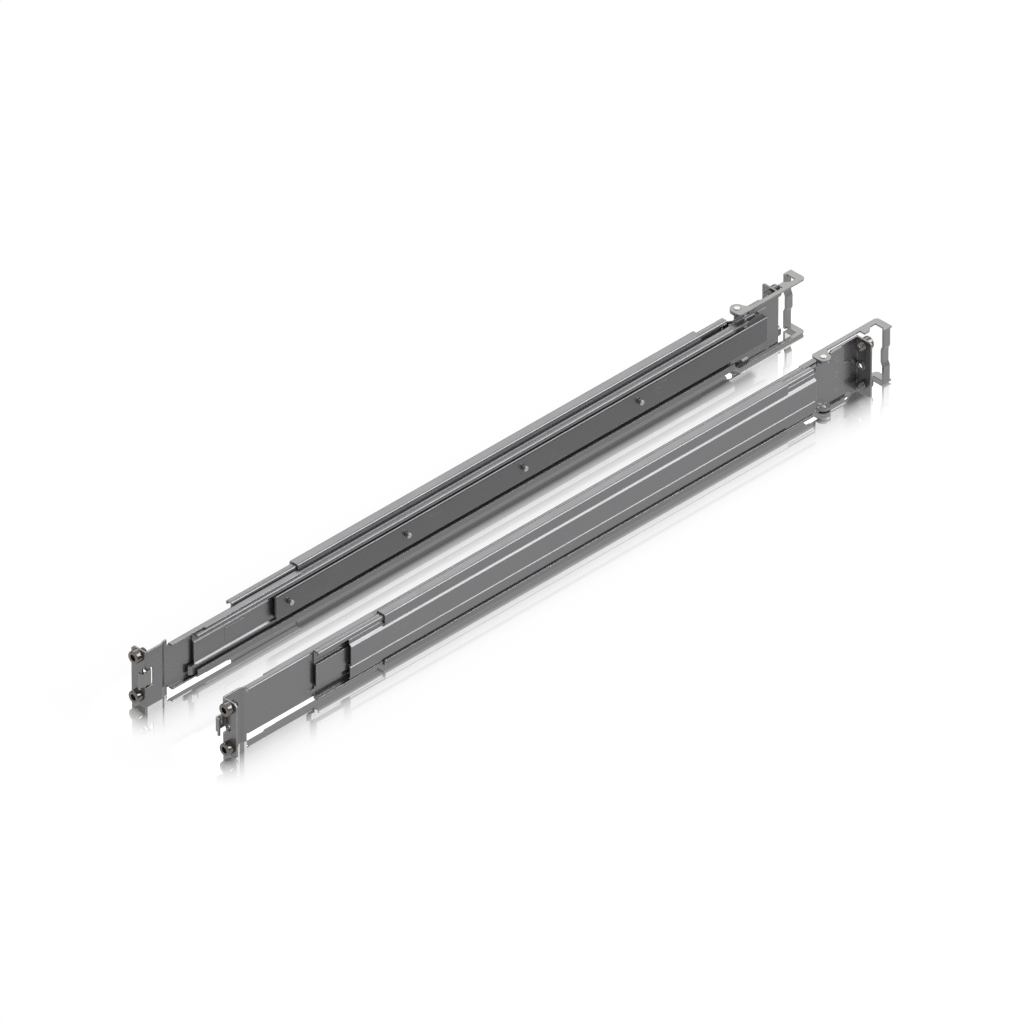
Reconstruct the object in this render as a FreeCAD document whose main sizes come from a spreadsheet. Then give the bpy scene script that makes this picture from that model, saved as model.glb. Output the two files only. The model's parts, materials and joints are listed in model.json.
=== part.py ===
import FreeCAD, Part
import math
import os

import Sketcher

# Sliding server rail pair, closed. Millimetres, +Z up, front towards -Y.
# The right rail is drawn from these sizes and the left rail is its mirror image.
# X is measured out from the plane midway between the rails, Y back from the front
# face of the front flange and Z up from the floor that the flanges stand on.
DIMENSIONS = {
    # sheet metal and fits
    "gauge": 1.2,
    "plate_gauge": 1.0,
    "bend": 0.3,
    "run_gap": 0.3,
    "fit_gap": 0.05,
    "rivet_fit": 0.02,
    # rack interface
    "wall_x": 36.8,
    "hole_pitch": 31.75,
    "low_hole_z": 7.3,
    "mid_hole_z": 22.0,
    "mid_hole_x": 41.5,
    "mid_hole_bore": 2.5,
    "mid_collar_wall": 0.9,
    "mid_collar_length": 1.4,
    "rail_length": 594.8,
    "flange_height": 44.0,
    "corner": 2.0,
    # front bracket
    "front_flange_edge_x": 49.2,
    "joggle": 1.2,
    "joggle_start_y": 15.0,
    "joggle_end_y": 18.0,
    "bracket_tall_y": 20.4,
    "bracket_relief": 2.0,
    "bracket_rear_y": 140.6,
    "bracket_bottom_z": 4.2,
    "bracket_top_z": 40.5,
    "bracket_flange_x": 32.2,
    "bracket_narrow_x": 33.6,
    "bracket_narrow_y": 51.0,
    "bracket_lug_rise": 1.5,
    "bracket_lug_length": 6.0,
    "bracket_lug_low_z": 6.8,
    "bracket_lug_top_z": 12.0,
    # cap screws that sit in the rack's square holes
    "screw_x": 42.6,
    "rear_screw_x": 43.2,
    "screw_count": 2.0,
    "head_radius": 4.7,
    "head_length": 5.2,
    "head_chamfer": 0.5,
    "socket_depth": 2.6,
    "socket_radius": 2.5,
    "shank_radius": 3.2,
    "shank_length": 6.2,
    # front hook
    "hook_lip_x": 38.0,
    "hook_arm_x": 34.0,
    "hook_front_y": -5.1,
    "hook_web_y": 4.2,
    "hook_bottom_z": 16.2,
    "hook_top_z": 29.6,
    "hook_pin_x": 40.2,
    "hook_pin_y": 5.4,
    "hook_pin_radius": 1.2,
    "hook_eye_wall": 1.1,
    "hook_eye_length": 2.8,
    "hook_window_x": 39.3,
    "hook_window_y": 6.9,
    "hook_window_gap": 0.6,
    "hook_ear_gap": 1.2,
    "hook_spring_wall": 0.7,
    "hook_sweep": 2.4,
    # outer slide member
    "slide_front_y": 43.0,
    "slide_setback": 47.8,
    "slide_tongue_length": 13.0,
    "slide_tongue_x": 35.0,
    "slide_depth": 6.4,
    "slide_top_lip": 2.8,
    "slide_low_lip": 5.6,
    "slide_panel_rise": 1.5,
    "slide_panel_top_z": 31.5,
    "slide_panel_low_z": 15.4,
    "slide_bead_x": 33.0,
    "slide_bead_low_z": 8.6,
    "slide_bead_nose": 5.6,
    "track_groove": 0.3,
    "track_groove_x": 32.8,
    "track_groove_width": 1.6,
    "mark_start_y": 71.6,
    "mark_length": 17.6,
    "mark_margin": 2.0,
    "mark_rise": 0.3,
    # inner slide
    "inner_face_x": 29.5,
    "inner_top_z": 35.0,
    "inner_low_z": 15.7,
    "inner_front_y": 115.0,
    "inner_setback": 17.8,
    "inner_flange_x": 35.2,
    "low_race_z": 17.8,
    "low_race_x": 33.7,
    "slide_travel": 400.0,
    "stud_first_y": 126.8,
    "stud_pitch": 109.5,
    "stud_count": 4.0,
    "stud_z": 26.0,
    "stud_neck_radius": 1.4,
    "stud_head_radius": 2.0,
    "stud_neck_length": 0.9,
    "stud_head_length": 2.1,
    "stud_chamfer": 0.3,
    "bumper_setback": 17.0,
    "bumper_length": 12.0,
    "bumper_height": 7.0,
    "bumper_thick": 2.1,
    "stop_length": 12.0,
    "stop_height": 5.0,
    "stop_thick": 1.9,
    "stop_margin": 0.4,
    # ball cages
    "cage_length": 128.0,
    "cage_gauge": 0.6,
    "cage_margin": 1.5,
    "ball_pitch": 14.0,
    "ball_count": 9.0,
    "low_ball_radius": 1.1,
    # guide channel on the outer side
    "guide_front_y": 81.9,
    "guide_edge_x": 43.4,
    "guide_lip": 3.0,
    "guide_panel_rise": 2.0,
    "guide_panel_ramp": 0.8,
    "guide_panel_top_z": 30.7,
    "guide_panel_low_z": 15.8,
    "guide_groove_x": 40.3,
    "guide_groove_width": 0.8,
    "guide_web_setback": 7.0,
    # wrap channel round the guide channel
    "wrap_front_y": 142.2,
    "wrap_setback": 73.8,
    "wrap_edge_x": 44.9,
    "wrap_top_z": 43.8,
    "wrap_bottom_z": 1.9,
    "wrap_top_lip_z": 35.6,
    "wrap_low_lip_z": 7.3,
    # rivets through bracket, slide and channels
    "rivet_radius": 1.6,
    "rivet_first_y": 125.0,
    "rivet_margin": 6.0,
    "rivet_count": 6.0,
    "rivet_z": 35.3,
    "rivet_head": 0.6,
    # rear extension arm
    "extension_travel": 300.0,
    "arm_overlap": 110.3,
    "arm_setback": 46.8,
    "arm_web_x": 43.1,
    "arm_top_z": 38.9,
    "arm_bottom_z": 6.8,
    "arm_flange_x": 39.6,
    "arm_panel_top_z": 33.4,
    "arm_panel_low_z": 18.1,
    "arm_ridge_rise": 0.8,
    "arm_ridge_top_z": 16.2,
    "arm_ridge_low_z": 8.9,
    "arm_valley": 1.0,
    "arm_joggle_run": 5.0,
    "arm_plate_setback": 14.8,
    "arm_plate_low_z": 4.4,
    "arm_plate_top_z": 43.9,
    "arm_tab_length": 5.8,
    "arm_tab_low_z": 15.7,
    "arm_tab_top_z": 29.6,
    # rear bracket
    "rear_plate_length": 46.8,
    "rear_notch_setback": 27.8,
    "rear_notch_z": 38.6,
    "rear_low_setback": 9.8,
    "rear_low_z": 3.1,
    "rear_flange_edge_x": 50.9,
    "rear_flange_corner": 1.0,
    "rear_rib_inset": 10.0,
    "rear_rib_length": 25.0,
    "rear_rib_z": 34.0,
    "rear_rib_height": 3.0,
    "rear_rib_rise": 0.5,
    "rear_rib_radius": 1.2,
    "rear_rivet_setback": 21.8,
    "rear_rivet_low_z": 11.0,
    "rear_rivet_pitch": 13.0,
    "rear_rivet_count": 3.0,
    # latch bail
    "pivot_x": 40.5,
    "pivot_setback": 35.8,
    "lug_radius": 5.0,
    "lug_seat": 4.5,
    "pivot_radius": 1.6,
    "pivot_head_radius": 2.3,
    "pivot_head": 0.4,
    "bail_gauge": 1.2,
    "bail_low_z": 1.3,
    "bail_top_z": 45.5,
    "bail_inner_x": 33.1,
    "bail_outer_x": 47.3,
    "bail_reach": 22.4,
    "bail_arm_width": 3.1,
    "bail_strap": 5.7,
    "bail_bar_depth": 7.2,
    "bail_bar_width": 5.6,
    "bail_bar_thick": 2.0,
    "bail_wave": 1.4,
    "bail_wave_low_z": 15.0,
    "bail_wave_top_z": 31.0,
    "bail_wave_run": 3.0,
    "bail_tab_gap": 3.1,
    "bail_tab_x": 40.6,
    "bail_tab_depth": 4.7,
    "bail_tab_run": 8.9,
    "bail_corner": 3.0,
    "bail_nose": 2.5,
    "bail_neck": 7.5,
    "bail_skirt_length": 21.0,
    "bail_spring_wall": 1.0,
}

SHEET = "Sizes"

# How far a cut runs past the faces that it opens, and an added length into its neighbour
PAST = 1.0
INTO = 0.5

# Shares of a pressed bead's nose at which its slope starts and ends
NOSE_HEEL = 0.8
NOSE_SHOULDER = 0.6

# Run of a groove's side for its depth, and turns of a close-wound spring
GROOVE_SLOPE = 1.5
SPRING_TURNS = 2
HEX_SIDES = 6


class Size:
    """A length with its value and the spreadsheet expression that gives it."""

    def __init__(self, value, text):
        self.value = value
        self.text = text

    def combine(self, other, sign, value):
        text = other.text if isinstance(other, Size) else repr(float(other))
        return Size(value, "(%s %s %s)" % (self.text, sign, text))

    def __add__(self, other):
        return self.combine(other, "+", self.value + number(other))

    def __sub__(self, other):
        return self.combine(other, "-", self.value - number(other))

    def __mul__(self, other):
        return self.combine(other, "*", self.value * number(other))

    def __truediv__(self, other):
        return self.combine(other, "/", self.value / number(other))

    def __neg__(self):
        return Size(-self.value, "(-1 * %s)" % self.text)


def number(size):
    return size.value if isinstance(size, Size) else float(size)


def zero():
    return Size(0.0, "0")


class Sizes:
    """Every driving dimension, by its name in the spreadsheet."""

    def __init__(self, document):
        sheet = document.addObject("Spreadsheet::Sheet", SHEET)
        for row, (name, value) in enumerate(DIMENSIONS.items(), start=1):
            sheet.set("A%d" % row, name)
            sheet.set("B%d" % row, str(value))
            sheet.setAlias("B%d" % row, name)
            setattr(self, name, Size(value, "%s.%s" % (SHEET, name)))
        document.recompute()


doc = FreeCAD.newDocument("server_rail_pair")
d = Sizes(doc)
right_pieces = []

# Derived places, each from the driving dimensions above
front_wall_x = d.wall_x - d.joggle
outer_wall_x = d.wall_x + d.gauge
bracket_flange_y = d.bracket_tall_y + d.bracket_relief
high_hole_z = d.low_hole_z + d.hole_pitch
slide_web_x = d.wall_x - d.gauge
slide_edge_x = d.wall_x - d.slide_depth
slide_panel_x = slide_web_x - d.slide_panel_rise
slide_top_z = d.bracket_top_z - d.gauge
slide_low_z = d.bracket_bottom_z + d.gauge
track_z = slide_top_z - d.gauge - d.track_groove
guide_web_x = outer_wall_x + d.gauge
guide_top_z = d.wrap_top_z - d.gauge
guide_low_z = d.wrap_bottom_z + d.gauge
plate_back_x = d.inner_face_x + d.plate_gauge
channel_back_x = plate_back_x + d.plate_gauge
arm_plate_x = outer_wall_x + d.gauge
slide_rear_y = d.rail_length - d.slide_setback
slide_tongue_y = slide_rear_y + d.slide_tongue_length
inner_rear_y = d.rail_length - d.inner_setback
bumper_front_y = inner_rear_y - d.bumper_setback
guide_rear_y = slide_rear_y
guide_web_end_y = guide_rear_y - d.guide_web_setback
wrap_rear_y = d.rail_length - d.wrap_setback
rivet_pitch = (wrap_rear_y - d.rivet_margin - d.rivet_first_y) / (d.rivet_count - 1)
arm_rear_y = d.rail_length - d.arm_setback
arm_plate_y = arm_rear_y + d.arm_joggle_run
arm_plate_end_y = d.rail_length - d.arm_plate_setback
rear_front_y = d.rail_length - d.rear_plate_length
rear_notch_y = d.rail_length - d.rear_notch_setback
rear_low_y = d.rail_length - d.rear_low_setback
rear_rib_y = rear_front_y + d.rear_rib_inset
rear_rivet_y = d.rail_length - d.rear_rivet_setback
pivot_y = d.rail_length - d.pivot_setback
bail_rear_y = d.rail_length + d.bail_reach
bail_bar_front_y = bail_rear_y - d.bail_bar_depth
bail_tab_y = d.rail_length + d.bail_tab_gap
bail_skirt_y = pivot_y + d.bail_skirt_length
rear_flange_y = d.rail_length - d.gauge
arm_front_y = wrap_rear_y - d.extension_travel - d.arm_overlap
stop_rear_y = bumper_front_y - d.slide_travel - d.stop_margin
cage_start_y = d.slide_front_y + d.slide_travel / 2 + d.cage_margin
ear_half = d.hook_pin_radius + d.hook_eye_wall
low_ear_z = d.hook_bottom_z - d.hook_ear_gap - d.gauge
high_ear_z = d.hook_top_z + d.hook_ear_gap
high_eye_z = d.hook_top_z - d.hook_eye_length
centre_y = (bail_rear_y - d.head_length) / 2


# Bodies and their sketches


def new_body(label):
    """An empty body, set so that the whole pair is centred front to back."""
    body = doc.addObject("PartDesign::Body", label)
    body.Label = label
    body.AllowCompound = True
    body.setExpression("Placement.Base.y", (-centre_y).text)
    return body


def new_sketch(body, plane, name, away=None, along=None, across=None):
    """A sketch on one of the body's origin planes, moved by the three offsets."""
    sketch = body.newObject("Sketcher::SketchObject", name)
    for feature in body.Origin.OriginFeatures:
        if feature.Role == plane:
            sketch.AttachmentSupport = (feature, [""])
    sketch.MapMode = "FlatFace"
    for axis, offset in (("x", along), ("y", across), ("z", away)):
        if offset is not None:
            sketch.setExpression("AttachmentOffset.Base." + axis, offset.text)
    return sketch


def shifted(corner, towards, distance):
    """The point at a distance from a corner, along the side to its neighbour."""
    if abs(number(corner[0]) - number(towards[0])) < 1e-9:
        if number(towards[1]) > number(corner[1]):
            return (corner[0], corner[1] + distance)
        return (corner[0], corner[1] - distance)
    if number(towards[0]) > number(corner[0]):
        return (corner[0] + distance, corner[1])
    return (corner[0] - distance, corner[1])


def pin(sketch, geometry, end, point):
    """Holds one end of a line or arc at a point given by two sizes."""
    for kind, size in (("DistanceX", point[0]), ("DistanceY", point[1])):
        constraint = Sketcher.Constraint(kind, -1, 1, geometry, end, number(size))
        index = sketch.addConstraint(constraint)
        if isinstance(size, Size):
            sketch.setExpression("Constraints[%d]" % index, size.text)


def vector(point):
    return FreeCAD.Vector(number(point[0]), number(point[1]), 0)


def draw_outline(sketch, corners):
    """A closed outline. A corner with a third value is rounded by that radius."""
    count = len(corners)
    stations = []
    for index, corner in enumerate(corners):
        if len(corner) == 2:
            stations.append([corner])
            continue
        before = corners[index - 1]
        after = corners[(index + 1) % count]
        start = shifted(corner, before, corner[2])
        end = shifted(corner, after, corner[2])
        centre = shifted(start, (after[0], start[1]), corner[2])
        if abs(number(start[1]) - number(corner[1])) < 1e-9:
            centre = shifted(start, (start[0], after[1]), corner[2])
        stations.append([start, end, centre, corner[2]])
    joints = []
    for station in stations:
        if len(station) == 1:
            joints.append(None)
            continue
        start, end, centre, radius = station
        middle = vector(centre)
        first = vector(start) - middle
        last = vector(end) - middle
        turn = first.x * last.y - first.y * last.x
        if turn < 0:
            first, last = last, first
        circle = Part.Circle(middle, FreeCAD.Vector(0, 0, 1), number(radius))
        begin_angle = math.atan2(first.y, first.x)
        end_angle = math.atan2(last.y, last.x)
        arc = sketch.addGeometry(Part.ArcOfCircle(circle, begin_angle, end_angle), False)
        joints.append((arc, 1, 2) if turn > 0 else (arc, 2, 1))
        pin(sketch, arc, 1, start if turn > 0 else end)
        pin(sketch, arc, 2, end if turn > 0 else start)
        held = sketch.addConstraint(Sketcher.Constraint("Radius", arc, number(radius)))
        sketch.setExpression("Constraints[%d]" % held, radius.text)
    lines = []
    for index, station in enumerate(stations):
        start = station[0] if len(station) == 1 else station[1]
        end = stations[(index + 1) % count][0]
        lines.append(sketch.addGeometry(Part.LineSegment(vector(start), vector(end)), False))
    for index, line in enumerate(lines):
        arc = joints[index]
        previous = lines[index - 1]
        if arc is None:
            sketch.addConstraint(Sketcher.Constraint("Coincident", previous, 2, line, 1))
            pin(sketch, line, 1, stations[index][0])
        else:
            sketch.addConstraint(Sketcher.Constraint("Coincident", previous, 2, arc[0], arc[1]))
            sketch.addConstraint(Sketcher.Constraint("Coincident", line, 1, arc[0], arc[2]))


def draw_circle(sketch, centre, radius):
    circle = Part.Circle(vector(centre), FreeCAD.Vector(0, 0, 1), number(radius))
    geometry = sketch.addGeometry(circle, False)
    pin(sketch, geometry, 3, centre)
    held = sketch.addConstraint(Sketcher.Constraint("Radius", geometry, number(radius)))
    sketch.setExpression("Constraints[%d]" % held, radius.text)


def draw_polygon(sketch, centre, radius, sides):
    """A regular polygon inside a circle, such as a hex socket."""
    corners = []
    for side in range(sides):
        angle = math.radians(360.0 * side / sides)
        corner = (centre[0] + radius * math.cos(angle), centre[1] + radius * math.sin(angle))
        corners.append(corner)
    draw_outline(sketch, corners)


# The XZ plane faces the front, so a run back along Y goes against its normal.
AGAINST_NORMAL = {"XY_Plane": False, "YZ_Plane": False, "XZ_Plane": True}


def sketch_at(body, plane, name, start):
    away = -start if AGAINST_NORMAL[plane] else start
    return new_sketch(body, plane, name, away=away)


def add_run(body, name, plane, start, end, draw):
    """Adds material from start to end along the plane's axis."""
    sketch = sketch_at(body, plane, name + "_outline", start)
    draw(sketch)
    pad = body.newObject("PartDesign::Pad", name)
    pad.Profile = sketch
    pad.Reversed = AGAINST_NORMAL[plane]
    pad.setExpression("Length", (end - start).text)
    return pad


def cut_run(body, name, plane, start, end, draw):
    """Removes material from start to end along the plane's axis."""
    sketch = sketch_at(body, plane, name + "_outline", start)
    draw(sketch)
    pocket = body.newObject("PartDesign::Pocket", name)
    pocket.Profile = sketch
    pocket.Reversed = not AGAINST_NORMAL[plane]
    pocket.setExpression("Length", (end - start).text)
    return pocket


def outline(corners):
    return lambda sketch: draw_outline(sketch, corners)


def circle(centre, radius):
    return lambda sketch: draw_circle(sketch, centre, radius)


def rectangle(low, high):
    return outline([low, (high[0], low[1]), high, (low[0], high[1])])


def turned(body, name, plane, axis, place, corners):
    """A turned shape about a line parallel to a main axis through a place."""
    x, y, z = place
    offsets = {"XY_Plane": (x, y, z), "XZ_Plane": (x, z, -y)}[plane]
    sketch = new_sketch(body, plane, name + "_section", offsets[2], offsets[0], offsets[1])
    draw_outline(sketch, corners)
    revolution = body.newObject("PartDesign::Revolution", name)
    revolution.Profile = sketch
    revolution.ReferenceAxis = (sketch, [axis])
    revolution.Angle = 360
    return revolution


def repeated(body, name, features, axis, pitch, count):
    """Equal copies of features along a main axis."""
    pattern = body.newObject("PartDesign::LinearPattern", name)
    pattern.Originals = features
    for feature in body.Origin.OriginFeatures:
        if feature.Role == axis:
            pattern.Direction = (feature, [""])
    pattern.Mode = "Spacing"
    pattern.setExpression("Offset", pitch.text)
    pattern.setExpression("Occurrences", count.text)
    body.Tip = pattern
    return pattern


def folded(path, gauge, inside):
    """The section of a folded sheet.

    The path is one face of the sheet. The other face lies one gauge to the right
    of the path where inside is 1, and to the left where inside is -1. Both sides of
    a right-angled bend are rounded. Runs that are steeper than 45 degrees, or at 45
    degrees, move sideways, and flatter ones move up or down.
    """
    moves = []
    for start, end in zip(path, path[1:]):
        across = number(end[0]) - number(start[0])
        rise = number(end[1]) - number(start[1])
        upright = abs(rise) >= abs(across) - 1e-9
        square = min(abs(rise), abs(across)) < 1e-9
        forward = (rise > 0) if upright else (across < 0)
        moves.append((upright, square, gauge * (inside if forward else -inside)))
    near = []
    far = []
    last = len(path) - 1
    for index, (u, v) in enumerate(path):
        runs = moves[max(index - 1, 0):index + 1]
        upright = [move for move in runs if move[0]]
        level = [move for move in runs if not move[0]]
        other_u = u + upright[0][2] if upright else u
        other_v = v + level[0][2] if level else v
        bend = 0 < index < last and upright and level and runs[0][1] and runs[1][1]
        if not bend:
            near.append((u, v))
            far.append((other_u, other_v))
            continue
        turn = cross_of(path[index - 1], path[index], path[index + 1])
        inner = d.bend
        outer = d.bend + gauge
        near_is_inner = (turn > 0) == (inside > 0)
        near.append((u, v, inner if near_is_inner else outer))
        far.append((other_u, other_v, outer if near_is_inner else inner))
    return near + far[::-1]


def cross_of(before, corner, after):
    ax = number(corner[0]) - number(before[0])
    ay = number(corner[1]) - number(before[1])
    bx = number(after[0]) - number(corner[0])
    by = number(after[1]) - number(corner[1])
    return ax * by - ay * bx


def keep(body):
    right_pieces.append(body)
    return body


# Front bracket, with its screws and hook


def front_bracket():
    body = new_body("right_front_bracket")
    plan = [
        (d.front_flange_edge_x, zero()),
        (front_wall_x, zero()),
        (front_wall_x, d.joggle_start_y),
        (d.wall_x, d.joggle_end_y),
        (d.wall_x, d.bracket_tall_y),
    ]
    add_run(body, "front_wall", "XY_Plane", zero(), d.flange_height, outline(folded(plan, d.gauge, 1)))
    section = [
        (d.bracket_flange_x, d.bracket_top_z),
        (outer_wall_x, d.bracket_top_z),
        (outer_wall_x, d.bracket_bottom_z),
        (d.bracket_flange_x, d.bracket_bottom_z),
    ]
    long_wall = outline(folded(section, d.gauge, 1))
    add_run(body, "long_wall", "XZ_Plane", bracket_flange_y, d.bracket_rear_y, long_wall)
    bend_depth = d.gauge + d.bend
    neck = rectangle((d.wall_x, d.bracket_tall_y - INTO), (outer_wall_x, bracket_flange_y + INTO))
    add_run(body, "neck", "XY_Plane", d.bracket_bottom_z + bend_depth, d.bracket_top_z - bend_depth, neck)
    lug_end_y = d.guide_front_y - d.run_gap
    lug = [
        (outer_wall_x - d.gauge / 2, lug_end_y - d.bracket_lug_length),
        (outer_wall_x, lug_end_y - d.bracket_lug_length),
        (outer_wall_x + d.bracket_lug_rise, lug_end_y - d.bracket_lug_length / 2),
        (outer_wall_x + d.bracket_lug_rise, lug_end_y),
        (outer_wall_x - d.gauge / 2, lug_end_y),
    ]
    add_run(body, "channel_lug", "XY_Plane", d.bracket_lug_low_z, d.bracket_lug_top_z, outline(lug))
    step = d.bracket_narrow_x - d.bracket_flange_x
    narrow = [
        (d.bracket_flange_x - PAST, d.bracket_tall_y - PAST),
        (d.bracket_narrow_x, d.bracket_tall_y - PAST),
        (d.bracket_narrow_x, d.bracket_narrow_y),
        (d.bracket_flange_x, d.bracket_narrow_y + step),
        (d.bracket_flange_x - PAST, d.bracket_narrow_y + step),
    ]
    cut_run(body, "narrow_flanges", "XY_Plane", zero(), d.flange_height, outline(narrow))
    for name, low, high in (
        ("low_corner", zero(), d.corner),
        ("high_corner", d.flange_height - d.corner, d.flange_height),
    ):
        edge = d.front_flange_edge_x
        outer = low if name == "low_corner" else high
        inner = high if name == "low_corner" else low
        corner = [(edge - d.corner, outer), (edge, outer), (edge, inner)]
        cut_run(body, name, "XZ_Plane", -d.gauge, d.gauge * 2, outline(corner))
    cut_run(
        body, "hook_window", "XY_Plane",
        d.hook_bottom_z - d.hook_window_gap, d.hook_top_z + d.hook_window_gap,
        rectangle((front_wall_x - PAST, -d.gauge), (d.hook_window_x, d.hook_window_y)),
    )
    collar_radius = d.mid_hole_bore + d.mid_collar_wall
    middle = (d.mid_hole_x, d.mid_hole_z)
    add_run(body, "collar", "XZ_Plane", d.gauge / 2, d.gauge + d.mid_collar_length, circle(middle, collar_radius))
    cut_run(body, "mid_hole", "XZ_Plane", -d.gauge, d.gauge * 3, circle(middle, d.mid_hole_bore))
    screw_hole = d.shank_radius + d.fit_gap
    for name, height in (("low_hole", d.low_hole_z), ("high_hole", high_hole_z)):
        cut_run(body, name, "XZ_Plane", -d.gauge, d.gauge * 2, circle((d.screw_x, height), screw_hole))
    for name, low in (("low_ear", low_ear_z), ("high_ear", high_ear_z)):
        ear = [
            (front_wall_x + d.gauge / 2, d.hook_pin_y - ear_half),
            (d.hook_pin_x + ear_half, d.hook_pin_y - ear_half),
            (d.hook_pin_x + ear_half, d.hook_pin_y + ear_half),
            (front_wall_x + d.gauge / 2, d.hook_pin_y + ear_half),
        ]
        add_run(body, name, "XY_Plane", low, low + d.gauge, outline(ear))
        pin_hole = circle((d.hook_pin_x, d.hook_pin_y), d.hook_pin_radius + d.rivet_fit)
        cut_run(body, name + "_hole", "XY_Plane", low - INTO, low + d.gauge + INTO, pin_hole)
    return keep(body)


def cap_screws(label, place_x, face_y, facing):
    """Two cap screws with hex sockets, their heads towards the facing side."""
    body = new_body(label)
    tip = d.shank_radius - d.head_chamfer
    head_end = d.head_length * facing
    shank_end = d.shank_length * -facing
    section = [
        (zero(), head_end),
        (d.head_radius - d.head_chamfer, head_end),
        (d.head_radius, head_end - d.head_chamfer * facing),
        (d.head_radius, zero()),
        (d.shank_radius, zero()),
        (d.shank_radius, shank_end + d.head_chamfer * facing),
        (tip, shank_end),
        (zero(), shank_end),
    ]
    screw = turned(body, label + "_turned", "XY_Plane", "V_Axis", (place_x, face_y, d.low_hole_z), section)
    end = face_y + head_end
    bottom = end - d.socket_depth * facing
    low, high = (end, bottom) if facing < 0 else (bottom, end)
    centre = (place_x, d.low_hole_z)
    socket = cut_run(
        body, label + "_socket", "XZ_Plane", low, high,
        lambda sketch: draw_polygon(sketch, centre, d.socket_radius, HEX_SIDES),
    )
    repeated(body, label + "_pair", [screw, socket], "Z_Axis", d.hole_pitch, d.screw_count)
    return keep(body)


def front_hook():
    body = new_body("right_front_hook")
    plan = [
        (d.hook_lip_x, d.hook_front_y),
        (d.hook_arm_x, d.hook_front_y),
        (d.hook_arm_x, d.hook_web_y),
        (d.hook_pin_x - d.hook_pin_radius, d.hook_web_y),
    ]
    add_run(
        body, "strip", "XY_Plane", d.hook_bottom_z, d.hook_top_z,
        outline(folded(plan, d.gauge, 1)),
    )
    eye_low = d.hook_bottom_z + d.hook_eye_length
    relief_x = d.hook_pin_x - d.hook_pin_radius * 2
    cut_run(
        body, "screw_relief", "XZ_Plane", d.hook_web_y - d.gauge * 2, d.hook_web_y + d.gauge,
        rectangle((relief_x, eye_low), (d.hook_pin_x, high_eye_z)),
    )
    for name, low in (("low_eye", d.hook_bottom_z), ("high_eye", high_eye_z)):
        eye = circle((d.hook_pin_x, d.hook_pin_y), ear_half)
        add_run(body, name, "XY_Plane", low, low + d.hook_eye_length, eye)
    hole = circle((d.hook_pin_x, d.hook_pin_y), d.hook_pin_radius + d.fit_gap)
    cut_run(body, "pin_hole", "XY_Plane", d.hook_bottom_z - PAST, d.hook_top_z + PAST, hole)
    # Swung open, the hook's lower inboard corner has to pass over the inner slide's race.
    race_top_z = d.low_race_z + d.plate_gauge + d.run_gap
    corner = [
        (d.hook_arm_x - PAST, d.hook_front_y - PAST),
        (d.hook_arm_x + d.hook_sweep, d.hook_front_y - PAST),
        (d.hook_arm_x + d.hook_sweep, d.hook_web_y + PAST),
        (d.hook_arm_x - PAST, d.hook_web_y + PAST),
    ]
    cut_run(body, "race_relief", "XY_Plane", d.hook_bottom_z - PAST, race_top_z, outline(corner))
    return keep(body)


def front_hook_pins():
    body = new_body("right_front_hook_pins")
    centre = (d.hook_pin_x, d.hook_pin_y)
    low_end = d.hook_bottom_z + d.hook_eye_length
    add_run(body, "low_pin", "XY_Plane", low_ear_z, low_end, circle(centre, d.hook_pin_radius))
    high_end = high_ear_z + d.gauge
    add_run(body, "high_pin", "XY_Plane", high_eye_z, high_end, circle(centre, d.hook_pin_radius))
    return keep(body)


def coil_section(inner, wall, low, height, turns):
    """Half the section of a close-wound spring: flat inside, one rib a turn outside."""
    corners = [(inner, low)]
    rise = height / turns
    for turn in range(turns):
        base = low + rise * turn
        corners.append((inner + wall / 2, base))
        corners.append((inner + wall, base + rise / 2))
    corners.append((inner + wall / 2, low + height))
    corners.append((inner, low + height))
    return corners


def front_hook_spring():
    body = new_body("right_front_hook_spring")
    section = coil_section(
        d.hook_pin_radius + d.fit_gap, d.hook_spring_wall,
        d.hook_top_z + d.run_gap / 2, d.hook_ear_gap - d.run_gap, SPRING_TURNS,
    )
    place = (d.hook_pin_x, d.hook_pin_y, zero())
    turned(body, "coil", "XZ_Plane", "V_Axis", place, section)
    return keep(body)


# Outer slide member


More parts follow.
